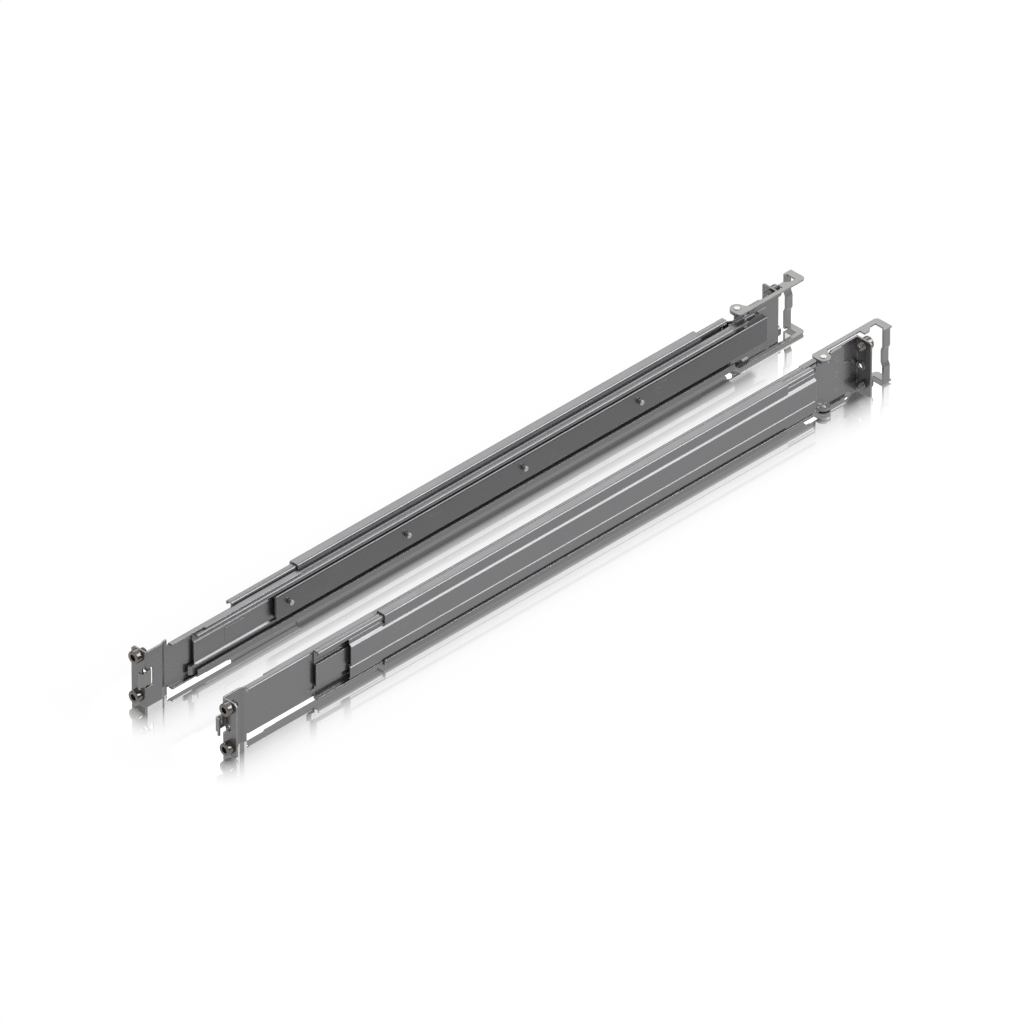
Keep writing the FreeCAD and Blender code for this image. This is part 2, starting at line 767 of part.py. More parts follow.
def outer_slide():
    body = new_body("right_outer_slide")
    groove_end_x = d.track_groove_x + d.track_groove_width
    slope = d.track_groove * GROOVE_SLOPE
    panel_x = slide_panel_x + d.gauge
    bead_x = d.slide_bead_x + d.gauge
    rise = d.slide_panel_rise
    path = [
        (slide_edge_x, slide_top_z - d.slide_top_lip),
        (slide_edge_x, slide_top_z),
        (d.track_groove_x - slope, slide_top_z),
        (d.track_groove_x, slide_top_z - d.track_groove),
        (groove_end_x, slide_top_z - d.track_groove),
        (groove_end_x + slope, slide_top_z),
        (d.wall_x, slide_top_z),
        (d.wall_x, d.slide_panel_top_z + rise),
        (panel_x, d.slide_panel_top_z),
        (panel_x, d.slide_panel_low_z),
        (bead_x, d.slide_panel_low_z - d.gauge),
        (bead_x, d.slide_bead_low_z),
        (d.wall_x, d.slide_bead_low_z),
        (d.wall_x, slide_low_z),
        (slide_edge_x, slide_low_z),
        (slide_edge_x, slide_low_z + d.slide_low_lip),
    ]
    section = folded(path, d.gauge, 1)
    add_run(body, "section", "XZ_Plane", d.slide_front_y, slide_rear_y, outline(section))
    tongue = rectangle((slide_edge_x, slide_top_z - d.gauge), (d.slide_tongue_x, slide_top_z))
    add_run(body, "tongue", "XZ_Plane", slide_rear_y - d.gauge, slide_tongue_y, tongue)
    front = d.slide_front_y
    nose = [
        (slide_web_x, front + PAST),
        (slide_web_x, front - d.slide_bead_nose * NOSE_HEEL),
        (slide_web_x - d.gauge, front - d.slide_bead_nose),
        (d.slide_bead_x, front - d.slide_bead_nose * NOSE_SHOULDER),
        (d.slide_bead_x, front + PAST),
    ]
    nose_low_z = d.slide_bead_low_z - d.gauge / 2
    nose_top_z = d.slide_panel_low_z - d.gauge / 2
    add_run(body, "bead_nose", "XY_Plane", nose_low_z, nose_top_z, outline(nose))
    mark_low = (d.mark_start_y, d.slide_panel_low_z + d.mark_margin)
    mark_high = (d.mark_start_y + d.mark_length, d.slide_panel_top_z - d.mark_margin)
    add_run(
        body, "pressed_mark", "YZ_Plane", slide_panel_x - d.mark_rise, slide_panel_x + d.gauge / 2,
        rectangle(mark_low, mark_high),
    )
    return keep(body)


def slide_stop():
    body = new_body("right_slide_stop")
    low = (stop_rear_y - d.stop_length, d.stud_z - d.stop_height / 2)
    high = (stop_rear_y, d.stud_z + d.stop_height / 2)
    add_run(body, "block", "YZ_Plane", slide_panel_x - d.stop_thick, slide_panel_x, rectangle(low, high))
    return keep(body)


# Inner slide: plate, channel, studs and bumper


def inner_plate():
    body = new_body("right_inner_plate")
    path = [
        (d.inner_flange_x, d.inner_top_z),
        (d.inner_face_x, d.inner_top_z),
        (d.inner_face_x, d.inner_low_z),
    ]
    section = folded(path, d.plate_gauge, -1)
    add_run(body, "plate", "XZ_Plane", d.inner_front_y, inner_rear_y, outline(section))
    stud_holes(body, "plate_stud", d.inner_face_x, plate_back_x)
    return keep(body)


def stud_holes(body, name, low_x, high_x):
    centre = (d.stud_first_y, d.stud_z)
    radius = d.stud_neck_radius + d.rivet_fit
    hole = cut_run(body, name, "YZ_Plane", low_x - INTO, high_x + INTO, circle(centre, radius))
    repeated(body, name + "_row", [hole], "Y_Axis", d.stud_pitch, d.stud_count)


def inner_channel():
    body = new_body("right_inner_channel")
    top = d.inner_top_z - d.plate_gauge
    path = [
        (d.inner_flange_x - d.run_gap, top),
        (plate_back_x, top),
        (plate_back_x, d.low_race_z),
        (d.low_race_x, d.low_race_z),
    ]
    section = folded(path, d.plate_gauge, -1)
    add_run(body, "channel", "XZ_Plane", d.inner_front_y, inner_rear_y, outline(section))
    stud_holes(body, "channel_stud", plate_back_x, channel_back_x)
    return keep(body)


def server_studs():
    body = new_body("right_server_studs")
    section = [
        (zero(), zero()),
        (zero(), d.stud_head_radius - d.stud_chamfer),
        (d.stud_chamfer, d.stud_head_radius),
        (d.stud_head_length, d.stud_head_radius),
        (d.stud_head_length, d.stud_neck_radius),
        (d.stud_head_length + d.stud_neck_length + d.plate_gauge * 2, d.stud_neck_radius),
        (d.stud_head_length + d.stud_neck_length + d.plate_gauge * 2, zero()),
    ]
    tip_x = d.inner_face_x - d.stud_neck_length - d.stud_head_length
    place = (tip_x, d.stud_first_y, d.stud_z)
    stud = turned(body, "stud", "XY_Plane", "H_Axis", place, section)
    repeated(body, "stud_row", [stud], "Y_Axis", d.stud_pitch, d.stud_count)
    return keep(body)


def slide_bumper():
    body = new_body("right_slide_bumper")
    low = (bumper_front_y, d.stud_z - d.bumper_height / 2)
    high = (bumper_front_y + d.bumper_length, d.stud_z + d.bumper_height / 2)
    corners = [
        (low[0], low[1], d.corner),
        (high[0], low[1], d.corner),
        (high[0], high[1], d.corner),
        (low[0], high[1], d.corner),
    ]
    add_run(body, "pad", "YZ_Plane", channel_back_x, channel_back_x + d.bumper_thick, outline(corners))
    return keep(body)


# Ball cages: the balls roll on the inner slide's flanges, the upper row under the
# outer slide's grooved flange and the lower row on top of its bead

high_ball_gap = track_z - d.inner_top_z
high_ball_radius = high_ball_gap / 2 - d.fit_gap
high_ball_z = d.inner_top_z + high_ball_gap / 2
high_ball_x = d.track_groove_x + d.track_groove_width / 2
low_ball_z = (d.slide_panel_low_z + d.low_race_z) / 2
low_ball_x = slide_panel_x - d.run_gap + d.fit_gap - d.low_ball_radius
first_ball_y = cage_start_y + (d.cage_length - d.ball_pitch * (d.ball_count - 1)) / 2


def ball_cage(label, low_x, high_x, ball_x, ball_z, radius):
    body = new_body(label)
    low_z = ball_z - d.cage_gauge / 2
    high_z = ball_z + d.cage_gauge / 2
    strip = rectangle((low_x, cage_start_y), (high_x, cage_start_y + d.cage_length))
    add_run(body, label + "_strip", "XY_Plane", low_z, high_z, strip)
    pocket = circle((ball_x, first_ball_y), radius + d.fit_gap)
    hole = cut_run(body, label + "_pocket", "XY_Plane", low_z - INTO, high_z + INTO, pocket)
    repeated(body, label + "_pockets", [hole], "Y_Axis", d.ball_pitch, d.ball_count)
    return keep(body)


def ball_cages():
    lip_x = slide_edge_x + d.gauge
    ball_cage(
        "right_upper_ball_cage", lip_x + d.run_gap, slide_web_x - d.run_gap,
        high_ball_x, high_ball_z, high_ball_radius,
    )
    ball_cage(
        "right_lower_ball_cage", plate_back_x + d.run_gap, slide_panel_x - d.run_gap,
        low_ball_x, low_ball_z, d.low_ball_radius,
    )


def draw_half_disc(sketch, radius):
    """Half a disc on the sketch's vertical axis, to be turned into a ball."""
    top = FreeCAD.Vector(0, number(radius), 0)
    bottom = FreeCAD.Vector(0, -number(radius), 0)
    circle_line = Part.Circle(FreeCAD.Vector(), FreeCAD.Vector(0, 0, 1), number(radius))
    arc = sketch.addGeometry(Part.ArcOfCircle(circle_line, -math.pi / 2, math.pi / 2), False)
    line = sketch.addGeometry(Part.LineSegment(top, bottom), False)
    sketch.addConstraint(Sketcher.Constraint("Coincident", arc, 3, -1, 1))
    sketch.addConstraint(Sketcher.Constraint("Coincident", arc, 2, line, 1))
    sketch.addConstraint(Sketcher.Constraint("Coincident", arc, 1, line, 2))
    sketch.addConstraint(Sketcher.Constraint("PointOnObject", arc, 1, -2))
    sketch.addConstraint(Sketcher.Constraint("PointOnObject", arc, 2, -2))
    held = sketch.addConstraint(Sketcher.Constraint("Radius", arc, number(radius)))
    sketch.setExpression("Constraints[%d]" % held, radius.text)


def slide_balls():
    body = new_body("right_slide_balls")
    rows = []
    for name, x, z, radius in (
        ("upper_ball", high_ball_x, high_ball_z, high_ball_radius),
        ("lower_ball", low_ball_x, low_ball_z, d.low_ball_radius),
    ):
        sketch = new_sketch(body, "XY_Plane", name + "_section", z, x, first_ball_y)
        draw_half_disc(sketch, radius)
        ball = body.newObject("PartDesign::Revolution", name)
        ball.Profile = sketch
        ball.ReferenceAxis = (sketch, ["V_Axis"])
        ball.Angle = 360
        rows.append(ball)
    repeated(body, "ball_rows", rows, "Y_Axis", d.ball_pitch, d.ball_count)
    return keep(body)


# Outer side: guide channel, wrap channel and their rivets


def guide_channel():
    body = new_body("right_guide_channel")
    groove_end_x = d.guide_groove_x + d.guide_groove_width
    slope = d.track_groove * GROOVE_SLOPE
    rise = d.guide_panel_rise
    panel_x = outer_wall_x + rise
    path = [
        (d.guide_edge_x, guide_top_z - d.guide_lip),
        (d.guide_edge_x, guide_top_z),
        (groove_end_x + slope, guide_top_z),
        (groove_end_x, guide_top_z - d.track_groove),
        (d.guide_groove_x, guide_top_z - d.track_groove),
        (d.guide_groove_x - slope, guide_top_z),
        (outer_wall_x, guide_top_z),
        (outer_wall_x, d.guide_panel_top_z + d.guide_panel_ramp),
        (panel_x, d.guide_panel_top_z),
        (panel_x, d.guide_panel_low_z),
        (outer_wall_x, d.guide_panel_low_z - d.guide_panel_ramp),
        (outer_wall_x, guide_low_z),
        (d.guide_edge_x, guide_low_z),
        (d.guide_edge_x, guide_low_z + d.guide_lip),
    ]
    section = folded(path, d.gauge, -1)
    add_run(body, "section", "XZ_Plane", d.guide_front_y, guide_rear_y, outline(section))
    low = (outer_wall_x - INTO, guide_low_z + d.gauge + d.run_gap)
    high = (panel_x + d.gauge + d.run_gap, guide_top_z - d.gauge - d.run_gap)
    cut_run(body, "web_end", "XZ_Plane", guide_web_end_y, guide_rear_y + PAST, rectangle(low, high))
    return keep(body)


def wrap_channel():
    body = new_body("right_wrap_channel")
    path = [
        (d.wrap_edge_x, d.wrap_top_lip_z),
        (d.wrap_edge_x, d.wrap_top_z),
        (d.wall_x, d.wrap_top_z),
        (d.wall_x, d.wrap_bottom_z),
        (d.wrap_edge_x, d.wrap_bottom_z),
        (d.wrap_edge_x, d.wrap_low_lip_z),
    ]
    section = folded(path, d.gauge, -1)
    add_run(body, "section", "XZ_Plane", d.wrap_front_y, wrap_rear_y, outline(section))
    return keep(body)


def rivet_row(body, low_x, high_x):
    """Flush rivets, lying along X."""
    section = [
        (zero(), zero()),
        (zero(), d.rivet_radius),
        (high_x - low_x, d.rivet_radius),
        (high_x - low_x, zero()),
    ]
    place = (low_x, d.rivet_first_y, d.rivet_z)
    rivet = turned(body, "rivet", "XY_Plane", "H_Axis", place, section)
    repeated(body, "rivet_row", [rivet], "Y_Axis", rivet_pitch, d.rivet_count)


def channel_rivets():
    body = new_body("right_channel_rivets")
    rivet_row(body, slide_web_x, guide_web_x + d.rivet_head)
    return keep(body)


def rivet_holes(body, low_x, high_x):
    """The holes of every rivet in the row that this piece reaches."""
    centre = (d.rivet_first_y, d.rivet_z)
    drill = circle(centre, d.rivet_radius + d.rivet_fit)
    hole = cut_run(body, "rivet_hole", "YZ_Plane", low_x - INTO, high_x + INTO, drill)
    repeated(body, "rivet_holes", [hole], "Y_Axis", rivet_pitch, d.rivet_count)


# Rear extension arm and rear bracket


def extension_arm():
    body = new_body("right_extension_arm")
    web = d.arm_web_x
    panel_x = d.wrap_edge_x
    ridge_x = web + d.arm_ridge_rise
    rise = panel_x - web
    path = [
        (d.arm_flange_x, d.arm_top_z),
        (web, d.arm_top_z),
        (web, d.arm_panel_top_z + rise),
        (panel_x, d.arm_panel_top_z),
        (panel_x, d.arm_panel_low_z),
        (web, d.arm_panel_low_z - d.arm_valley),
        (ridge_x, d.arm_ridge_top_z),
        (ridge_x, d.arm_ridge_low_z),
        (web, d.arm_ridge_low_z - d.arm_ridge_rise),
        (web, d.arm_bottom_z),
    ]
    section = folded(path, d.gauge, 1)
    add_run(body, "section", "XZ_Plane", arm_front_y, arm_rear_y, outline(section))
    back = web - d.gauge
    joggle = [
        (web, arm_rear_y - INTO),
        (web, arm_rear_y + INTO),
        (arm_plate_x, arm_plate_y),
        (arm_plate_x, arm_plate_y + INTO),
        (outer_wall_x, arm_plate_y + INTO),
        (outer_wall_x, arm_plate_y - INTO),
        (back, arm_rear_y),
        (back, arm_rear_y - INTO),
    ]
    joggle_low_z = d.arm_bottom_z + d.gauge
    add_run(body, "joggle", "XY_Plane", joggle_low_z, d.arm_top_z, outline(joggle))
    plate = [
        (arm_plate_y, d.arm_plate_low_z),
        (arm_plate_end_y - d.corner, d.arm_plate_low_z),
        (arm_plate_end_y, d.arm_plate_low_z + d.corner),
        (arm_plate_end_y, d.arm_tab_low_z),
        (arm_plate_end_y + d.arm_tab_length, d.arm_tab_low_z),
        (arm_plate_end_y + d.arm_tab_length, d.arm_tab_top_z - d.corner),
        (arm_plate_end_y + d.arm_tab_length - d.corner, d.arm_tab_top_z),
        (arm_plate_end_y, d.arm_tab_top_z),
        (arm_plate_end_y, d.arm_plate_top_z - d.corner),
        (arm_plate_end_y - d.corner, d.arm_plate_top_z),
        (rear_notch_y, d.arm_plate_top_z),
        (rear_notch_y, d.arm_top_z),
        (pivot_y + d.lug_seat, d.arm_top_z),
        (pivot_y + d.lug_seat, d.arm_plate_top_z),
        (pivot_y - d.lug_seat, d.arm_plate_top_z),
        (pivot_y - d.lug_seat, d.arm_top_z),
        (arm_plate_y, d.arm_top_z),
    ]
    add_run(body, "plate", "YZ_Plane", outer_wall_x, arm_plate_x, outline(plate))
    top_lug_z = d.arm_plate_top_z - d.gauge
    for name, low in (("upper_lug", top_lug_z), ("lower_lug", d.arm_plate_low_z)):
        lug = circle((d.pivot_x, pivot_y), d.lug_radius)
        add_run(body, name, "XY_Plane", low, low + d.gauge, lug)
        hole = circle((d.pivot_x, pivot_y), d.pivot_radius + d.rivet_fit)
        cut_run(body, name + "_hole", "XY_Plane", low - PAST, low + d.gauge + PAST, hole)
    inboard = rectangle(
        (d.pivot_x - d.lug_radius - PAST, pivot_y - d.lug_radius - PAST),
        (outer_wall_x, pivot_y + d.lug_radius + PAST),
    )
    cut_run(body, "lug_trim", "XY_Plane", zero(), d.arm_plate_top_z + PAST, inboard)
    drill_rear_rivets(body)
    return keep(body)


def drill_rear_rivets(body):
    centre = (rear_rivet_y, d.rear_rivet_low_z)
    drill = circle(centre, d.rivet_radius + d.rivet_fit)
    hole = cut_run(body, "rear_rivet_hole", "YZ_Plane", d.wall_x - INTO, arm_plate_x + INTO, drill)
    repeated(body, "rear_rivet_holes", [hole], "Z_Axis", d.rear_rivet_pitch, d.rear_rivet_count)


def bracket_rivets():
    body = new_body("right_bracket_rivets")
    centre = (rear_rivet_y, d.rear_rivet_low_z)
    rivet = add_run(body, "rivet", "YZ_Plane", d.wall_x, arm_plate_x, circle(centre, d.rivet_radius))
    repeated(body, "rivets", [rivet], "Z_Axis", d.rear_rivet_pitch, d.rear_rivet_count)
    return keep(body)


def rear_bracket():
    body = new_body("right_rear_bracket")
    top = d.flange_height
    spring_notch_z = d.arm_plate_low_z + d.gauge + d.run_gap
    wall = [
        (rear_front_y, spring_notch_z),
        (rear_notch_y - d.corner, spring_notch_z),
        (rear_notch_y, d.rear_low_z),
        (rear_low_y, d.rear_low_z),
        (rear_low_y + d.rear_low_z, zero()),
        (d.rail_length, zero()),
        (d.rail_length, top),
        (rear_notch_y + d.corner, top),
        (rear_notch_y, top - d.corner),
        (rear_notch_y, d.rear_notch_z),
        (rear_front_y, d.rear_notch_z),
    ]
    add_run(body, "wall", "YZ_Plane", d.wall_x, outer_wall_x, outline(wall))
    edge = d.rear_flange_edge_x
    flange = [
        (d.wall_x + d.gauge / 2, zero()),
        (edge - d.rear_flange_corner, zero()),
        (edge, d.rear_flange_corner),
        (edge, top - d.rear_flange_corner),
        (edge - d.rear_flange_corner, top),
        (d.wall_x + d.gauge / 2, top),
    ]
    add_run(body, "flange", "XZ_Plane", rear_flange_y, d.rail_length, outline(flange))
    rib_end_y = rear_rib_y + d.rear_rib_length
    rib_top_z = d.rear_rib_z + d.rear_rib_height
    rib = [
        (rear_rib_y, d.rear_rib_z, d.rear_rib_radius),
        (rib_end_y, d.rear_rib_z, d.rear_rib_radius),
        (rib_end_y, rib_top_z, d.rear_rib_radius),
        (rear_rib_y, rib_top_z, d.rear_rib_radius),
    ]
    add_run(body, "rib", "YZ_Plane", d.wall_x - d.rear_rib_rise, d.wall_x + d.gauge / 2, outline(rib))
    collar_radius = d.mid_hole_bore + d.mid_collar_wall
    middle = (d.mid_hole_x, d.mid_hole_z)
    collar = circle(middle, collar_radius)
    collar_front_y = rear_flange_y - d.mid_collar_length
    add_run(body, "collar", "XZ_Plane", collar_front_y, rear_flange_y + d.gauge / 2, collar)
    hole = circle(middle, d.mid_hole_bore)
    cut_run(body, "mid_hole", "XZ_Plane", collar_front_y - PAST, d.rail_length + PAST, hole)
    for name, height in (("low_hole", d.low_hole_z), ("high_hole", high_hole_z)):
        drill = circle((d.rear_screw_x, height), d.shank_radius + d.fit_gap)
        cut_run(body, name, "XZ_Plane", rear_flange_y - PAST, d.rail_length + PAST, drill)
    drill_rear_rivets(body)
    return keep(body)


# Latch bail with its pivots and spring


def bail_plan(with_tab):
    inner = d.bail_inner_x
    arm_x = inner + d.bail_arm_width
    strap_y = bail_rear_y - d.bail_strap
    lug = d.lug_radius
    corners = [
        (inner, pivot_y - lug, d.bail_nose),
        (d.pivot_x, pivot_y - lug),
        (d.pivot_x, pivot_y + lug),
    ]
    if with_tab:
        corners += [
            (arm_x, pivot_y + d.bail_neck),
            (arm_x, bail_tab_y),
            (d.bail_tab_x, bail_tab_y),
            (d.bail_tab_x, bail_tab_y + d.bail_tab_depth),
            (arm_x + d.gauge, bail_tab_y + d.bail_tab_run),
            (arm_x + d.gauge, strap_y),
        ]
    else:
        corners += [
            (d.pivot_x, bail_skirt_y),
            (arm_x, bail_skirt_y + d.bail_arm_width),
            (arm_x, strap_y),
        ]
    corners += [
        (d.bail_outer_x, strap_y),
        (d.bail_outer_x, bail_rear_y),
        (inner, bail_rear_y, d.bail_corner),
    ]
    return corners


def latch_bail():
    body = new_body("right_latch_bail")
    for name, low, tab in (
        ("upper_arm", d.bail_top_z - d.bail_gauge, True),
        ("lower_arm", d.bail_low_z, False),
    ):
        high = low + d.bail_gauge
        add_run(body, name, "XY_Plane", low, high, outline(bail_plan(tab)))
        lug = circle((d.pivot_x, pivot_y), d.lug_radius)
        add_run(body, name + "_lug", "XY_Plane", low, high, lug)
        hole = circle((d.pivot_x, pivot_y), d.pivot_radius + d.fit_gap)
        cut_run(body, name + "_hole", "XY_Plane", low - PAST, high + PAST, hole)
        if tab:
            add_bail_bar(body)
    return keep(body)


def add_bail_bar(body):
    """The upright bar, with a wave that a finger pulls on."""
    face = d.bail_outer_x
    waist = face - d.bail_wave
    path = [
        (face, d.bail_top_z),
        (face, d.bail_wave_top_z),
        (waist, d.bail_wave_top_z - d.bail_wave_run),
        (waist, d.bail_wave_low_z + d.bail_wave_run),
        (face, d.bail_wave_low_z),
        (face, d.bail_low_z),
    ]
    section = folded(path, d.bail_bar_thick, 1)
    front = bail_bar_front_y
    add_run(body, "bar", "XZ_Plane", front, front + d.bail_bar_width, outline(section))


def latch_pivots():
    """Solid rivets that the bail turns on, set in the arm's lugs, heads outside."""
    body = new_body("right_latch_pivots")
    spans = (
        ("upper", d.arm_plate_top_z - d.gauge, d.bail_top_z + d.fit_gap * 2, 1),
        ("lower", d.arm_plate_low_z + d.gauge, d.bail_low_z - d.fit_gap * 2, -1),
    )
    for name, seat, neck_end, outward in spans:
        head_end = neck_end + d.pivot_head * outward
        section = [
            (zero(), seat),
            (d.pivot_radius, seat),
            (d.pivot_radius, neck_end),
            (d.pivot_head_radius, neck_end),
            (d.pivot_head_radius, head_end),
            (zero(), head_end),
        ]
        turned(body, name + "_rivet", "XZ_Plane", "V_Axis", (d.pivot_x, pivot_y, zero()), section)
    return keep(body)


def latch_spring():
    body = new_body("right_latch_spring")
    low = d.bail_low_z + d.bail_gauge
    space = d.arm_plate_low_z - low
    section = coil_section(
        d.pivot_radius + d.fit_gap * 2, d.bail_spring_wall,
        low + d.run_gap / 2, space - d.run_gap, SPRING_TURNS,
    )
    turned(body, "coil", "XZ_Plane", "V_Axis", (d.pivot_x, pivot_y, zero()), section)
    return keep(body)


rivet_holes(front_bracket(), d.wall_x, outer_wall_x)
cap_screws("right_front_screws", d.screw_x, zero(), -1)
front_hook()
front_hook_pins()
front_hook_spring()
rivet_holes(outer_slide(), slide_web_x, d.wall_x)
slide_stop()
inner_plate()
inner_channel()
server_studs()
slide_bumper()
ball_cages()
slide_balls()
rivet_holes(guide_channel(), outer_wall_x, guide_web_x)
rivet_holes(wrap_channel(), d.wall_x, outer_wall_x)
channel_rivets()
extension_arm()
rear_bracket()
bracket_rivets()
cap_screws("right_rear_screws", d.rear_screw_x, d.rail_length, 1)
latch_bail()
latch_pivots()
latch_spring()
doc.recompute()


def mirrored(piece):
    """The left rail's piece, a mirror image across the plane between the rails."""
    label = piece.Label.replace("right_", "left_", 1)
    twin = doc.addObject("Part::Mirroring", label)
    twin.Label = label
    twin.Source = piece
    twin.Normal = FreeCAD.Vector(1, 0, 0)
    return twin


pieces = right_pieces + [mirrored(piece) for piece in right_pieces]
doc.recompute()

for item in doc.Objects:
    if "Invalid" in item.State or "Error" in item.State:
        raise RuntimeError("%s did not build" % item.Label)
for piece in pieces:
    if piece.Shape.isNull() or not piece.Shape.isValid():
        raise RuntimeError("%s has no valid shape" % piece.Label)

os.makedirs("parts", exist_ok=True)
for piece in pieces:
    piece.Shape.exportStep(os.path.join("parts", piece.Label + ".step"))
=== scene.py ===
import json
import math

import bmesh
import bpy
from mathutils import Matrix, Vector


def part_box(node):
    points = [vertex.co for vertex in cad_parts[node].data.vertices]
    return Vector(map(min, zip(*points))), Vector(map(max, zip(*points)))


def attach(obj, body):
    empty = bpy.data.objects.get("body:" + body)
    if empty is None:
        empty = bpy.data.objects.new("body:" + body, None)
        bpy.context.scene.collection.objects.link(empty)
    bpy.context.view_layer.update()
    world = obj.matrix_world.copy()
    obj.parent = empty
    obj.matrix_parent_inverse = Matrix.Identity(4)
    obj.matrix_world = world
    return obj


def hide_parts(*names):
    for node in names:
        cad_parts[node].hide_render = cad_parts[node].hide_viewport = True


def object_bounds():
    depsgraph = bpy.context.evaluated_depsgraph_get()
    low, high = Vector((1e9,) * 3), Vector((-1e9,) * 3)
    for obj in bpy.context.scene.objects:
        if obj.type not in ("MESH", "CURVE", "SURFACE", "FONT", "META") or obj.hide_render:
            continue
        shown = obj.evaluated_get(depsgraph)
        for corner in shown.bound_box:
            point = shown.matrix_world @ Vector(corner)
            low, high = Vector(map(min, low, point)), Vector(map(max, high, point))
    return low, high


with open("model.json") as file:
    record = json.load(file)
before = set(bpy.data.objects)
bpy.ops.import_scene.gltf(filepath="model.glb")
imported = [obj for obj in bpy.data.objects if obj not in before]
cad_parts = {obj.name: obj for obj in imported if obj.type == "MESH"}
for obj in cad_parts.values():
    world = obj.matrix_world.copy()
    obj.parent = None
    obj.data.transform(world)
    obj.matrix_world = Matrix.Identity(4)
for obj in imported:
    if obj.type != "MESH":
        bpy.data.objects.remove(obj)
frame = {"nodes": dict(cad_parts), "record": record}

# Sliding server rail pair: finishes, screws, threads, studs, bail pivots, balls and springs.
# Metres, +Z up, front towards -Y. The right rail is at +X and the left rail is its mirror image.
MM = 0.001
SIDES = (("right", 1), ("left", -1))
cad_low, cad_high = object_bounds()
nodes = frame["nodes"]
scene = bpy.context.scene


# Small helpers

MERGE_DISTANCE = 0.002 * MM
ON_AXIS = 1e-9  # a smaller radius makes a single point
SHARP_ANGLE = math.radians(35)


def middle(node):
    low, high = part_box(node)
    return (low + high) / 2


def stand_in(piece, node):
    """The piece takes a construction part's place, on that part's body."""
    bodies = frame["record"]["behaviour"]["bodies"]
    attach(piece, next(body for body, names in bodies.items() if node in names))
    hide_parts(node)


def new_object(name, data):
    piece = bpy.data.objects.new(name, data)
    scene.collection.objects.link(piece)
    return piece


def mesh_of(name, work, sharp_angle=SHARP_ANGLE):
    """A smooth mesh from a bmesh, with doubles merged and its faces turned outwards."""
    bmesh.ops.remove_doubles(work, verts=work.verts, dist=MERGE_DISTANCE)
    bmesh.ops.recalc_face_normals(work, faces=work.faces)
    mesh = bpy.data.meshes.new(name)
    work.to_mesh(mesh)
    work.free()
    mesh.shade_smooth()
    mesh.set_sharp_from_angle(angle=sharp_angle)
    return mesh


def lathe(work, profile, centre, axis, steps=48):
    """Turns a profile of (distance along the axis, radius) pairs about the axis.

    A radius may be a function of the angle, as in a hex socket or a thread.
    """
    along = Vector(axis).normalized()
    side = along.orthogonal().normalized()
    other = along.cross(side)
    rings = []
    for distance, radius in profile:
        if not callable(radius) and radius < ON_AXIS:
            rings.append([work.verts.new(centre + along * distance)])
            continue
        ring = []
        for step in range(steps):
            angle = 2 * math.pi * step / steps
            offset = side * math.cos(angle) + other * math.sin(angle)
            reach = radius(angle) if callable(radius) else radius
            ring.append(work.verts.new(centre + along * distance + offset * reach))
        rings.append(ring)
    for ring, after in zip(rings, rings[1:]):
        for step in range(steps):
            following = (step + 1) % steps
            if len(ring) == 1 and len(after) == 1:
                continue
            if len(ring) == 1:
                work.faces.new((ring[0], after[step], after[following]))
            elif len(after) == 1:
                work.faces.new((ring[step], after[0], ring[following]))
            else:
                work.faces.new((ring[step], after[step], after[following], ring[following]))


def sweep(work, points, radius, sides=10):
    """A round wire through the points, with closed ends."""
    rings = []
    normal = (points[1] - points[0]).orthogonal().normalized()
    for index, point in enumerate(points):
        before = points[max(index - 1, 0)]
        after = points[min(index + 1, len(points) - 1)]
        direction = (after - before).normalized()
        normal = (normal - direction * normal.dot(direction)).normalized()
        other = direction.cross(normal)
        ring = []
        for side in range(sides):
            angle = 2 * math.pi * side / sides
            offset = normal * math.cos(angle) + other * math.sin(angle)
            ring.append(work.verts.new(point + offset * radius))
        rings.append(ring)
    for ring, after in zip(rings, rings[1:]):
        for side in range(sides):
            following = (side + 1) % sides
            work.faces.new((ring[side], ring[following], after[following], after[side]))
    work.faces.new(rings[0][::-1])
    work.faces.new(rings[-1])


# Nodes that the materials are made of

FLOAT = "NodeSocketFloat"
VECTOR = "NodeSocketVector"


def node_group(name, inputs, outputs):
    """An empty shader group with its named sockets, and its two end nodes."""
    group = bpy.data.node_groups.new(name, "ShaderNodeTree")
    for label, value in inputs.items():
        socket = group.interface.new_socket(name=label, in_out="INPUT", socket_type=FLOAT)
        socket.default_value = value
    for label, kind in outputs.items():
        group.interface.new_socket(name=label, in_out="OUTPUT", socket_type=kind)
    start = group.nodes.new("NodeGroupInput")
    end = group.nodes.new("NodeGroupOutput")
    return group, start, end


def math_node(tree, operation, first, second=None, clamp=False):
    node = tree.nodes.new("ShaderNodeMath")
    node.operation = operation
    node.use_clamp = clamp
    for index, value in enumerate((first, second)):
        if value is None:
            continue
        if isinstance(value, (int, float)):
            node.inputs[index].default_value = value
        else:
            tree.links.new(value, node.inputs[index])
    return node.outputs[0]


def plus(tree, first, second, clamp=False):
    return math_node(tree, "ADD", first, second, clamp)


def minus(tree, first, second):
    return math_node(tree, "SUBTRACT", first, second)


def times(tree, first, second, clamp=False):
    return math_node(tree, "MULTIPLY", first, second, clamp)


def power(tree, first, second):
    return math_node(tree, "POWER", first, second)


def larger(tree, first, second):
    return math_node(tree, "MAXIMUM", first, second)


def distance_from(tree, value, place):
    return math_node(tree, "ABSOLUTE", minus(tree, value, place))


def ramp(tree, value, low, high, to_low=0.0, to_high=1.0):
    node = tree.nodes.new("ShaderNodeMapRange")
    node.inputs["From Min"].default_value = low
    node.inputs["From Max"].default_value = high
    node.inputs["To Min"].default_value = to_low
    node.inputs["To Max"].default_value = to_high
    tree.links.new(value, node.inputs["Value"])
    return node.outputs["Result"]


def object_place(tree):
    return tree.nodes.new("ShaderNodeTexCoord").outputs["Object"]


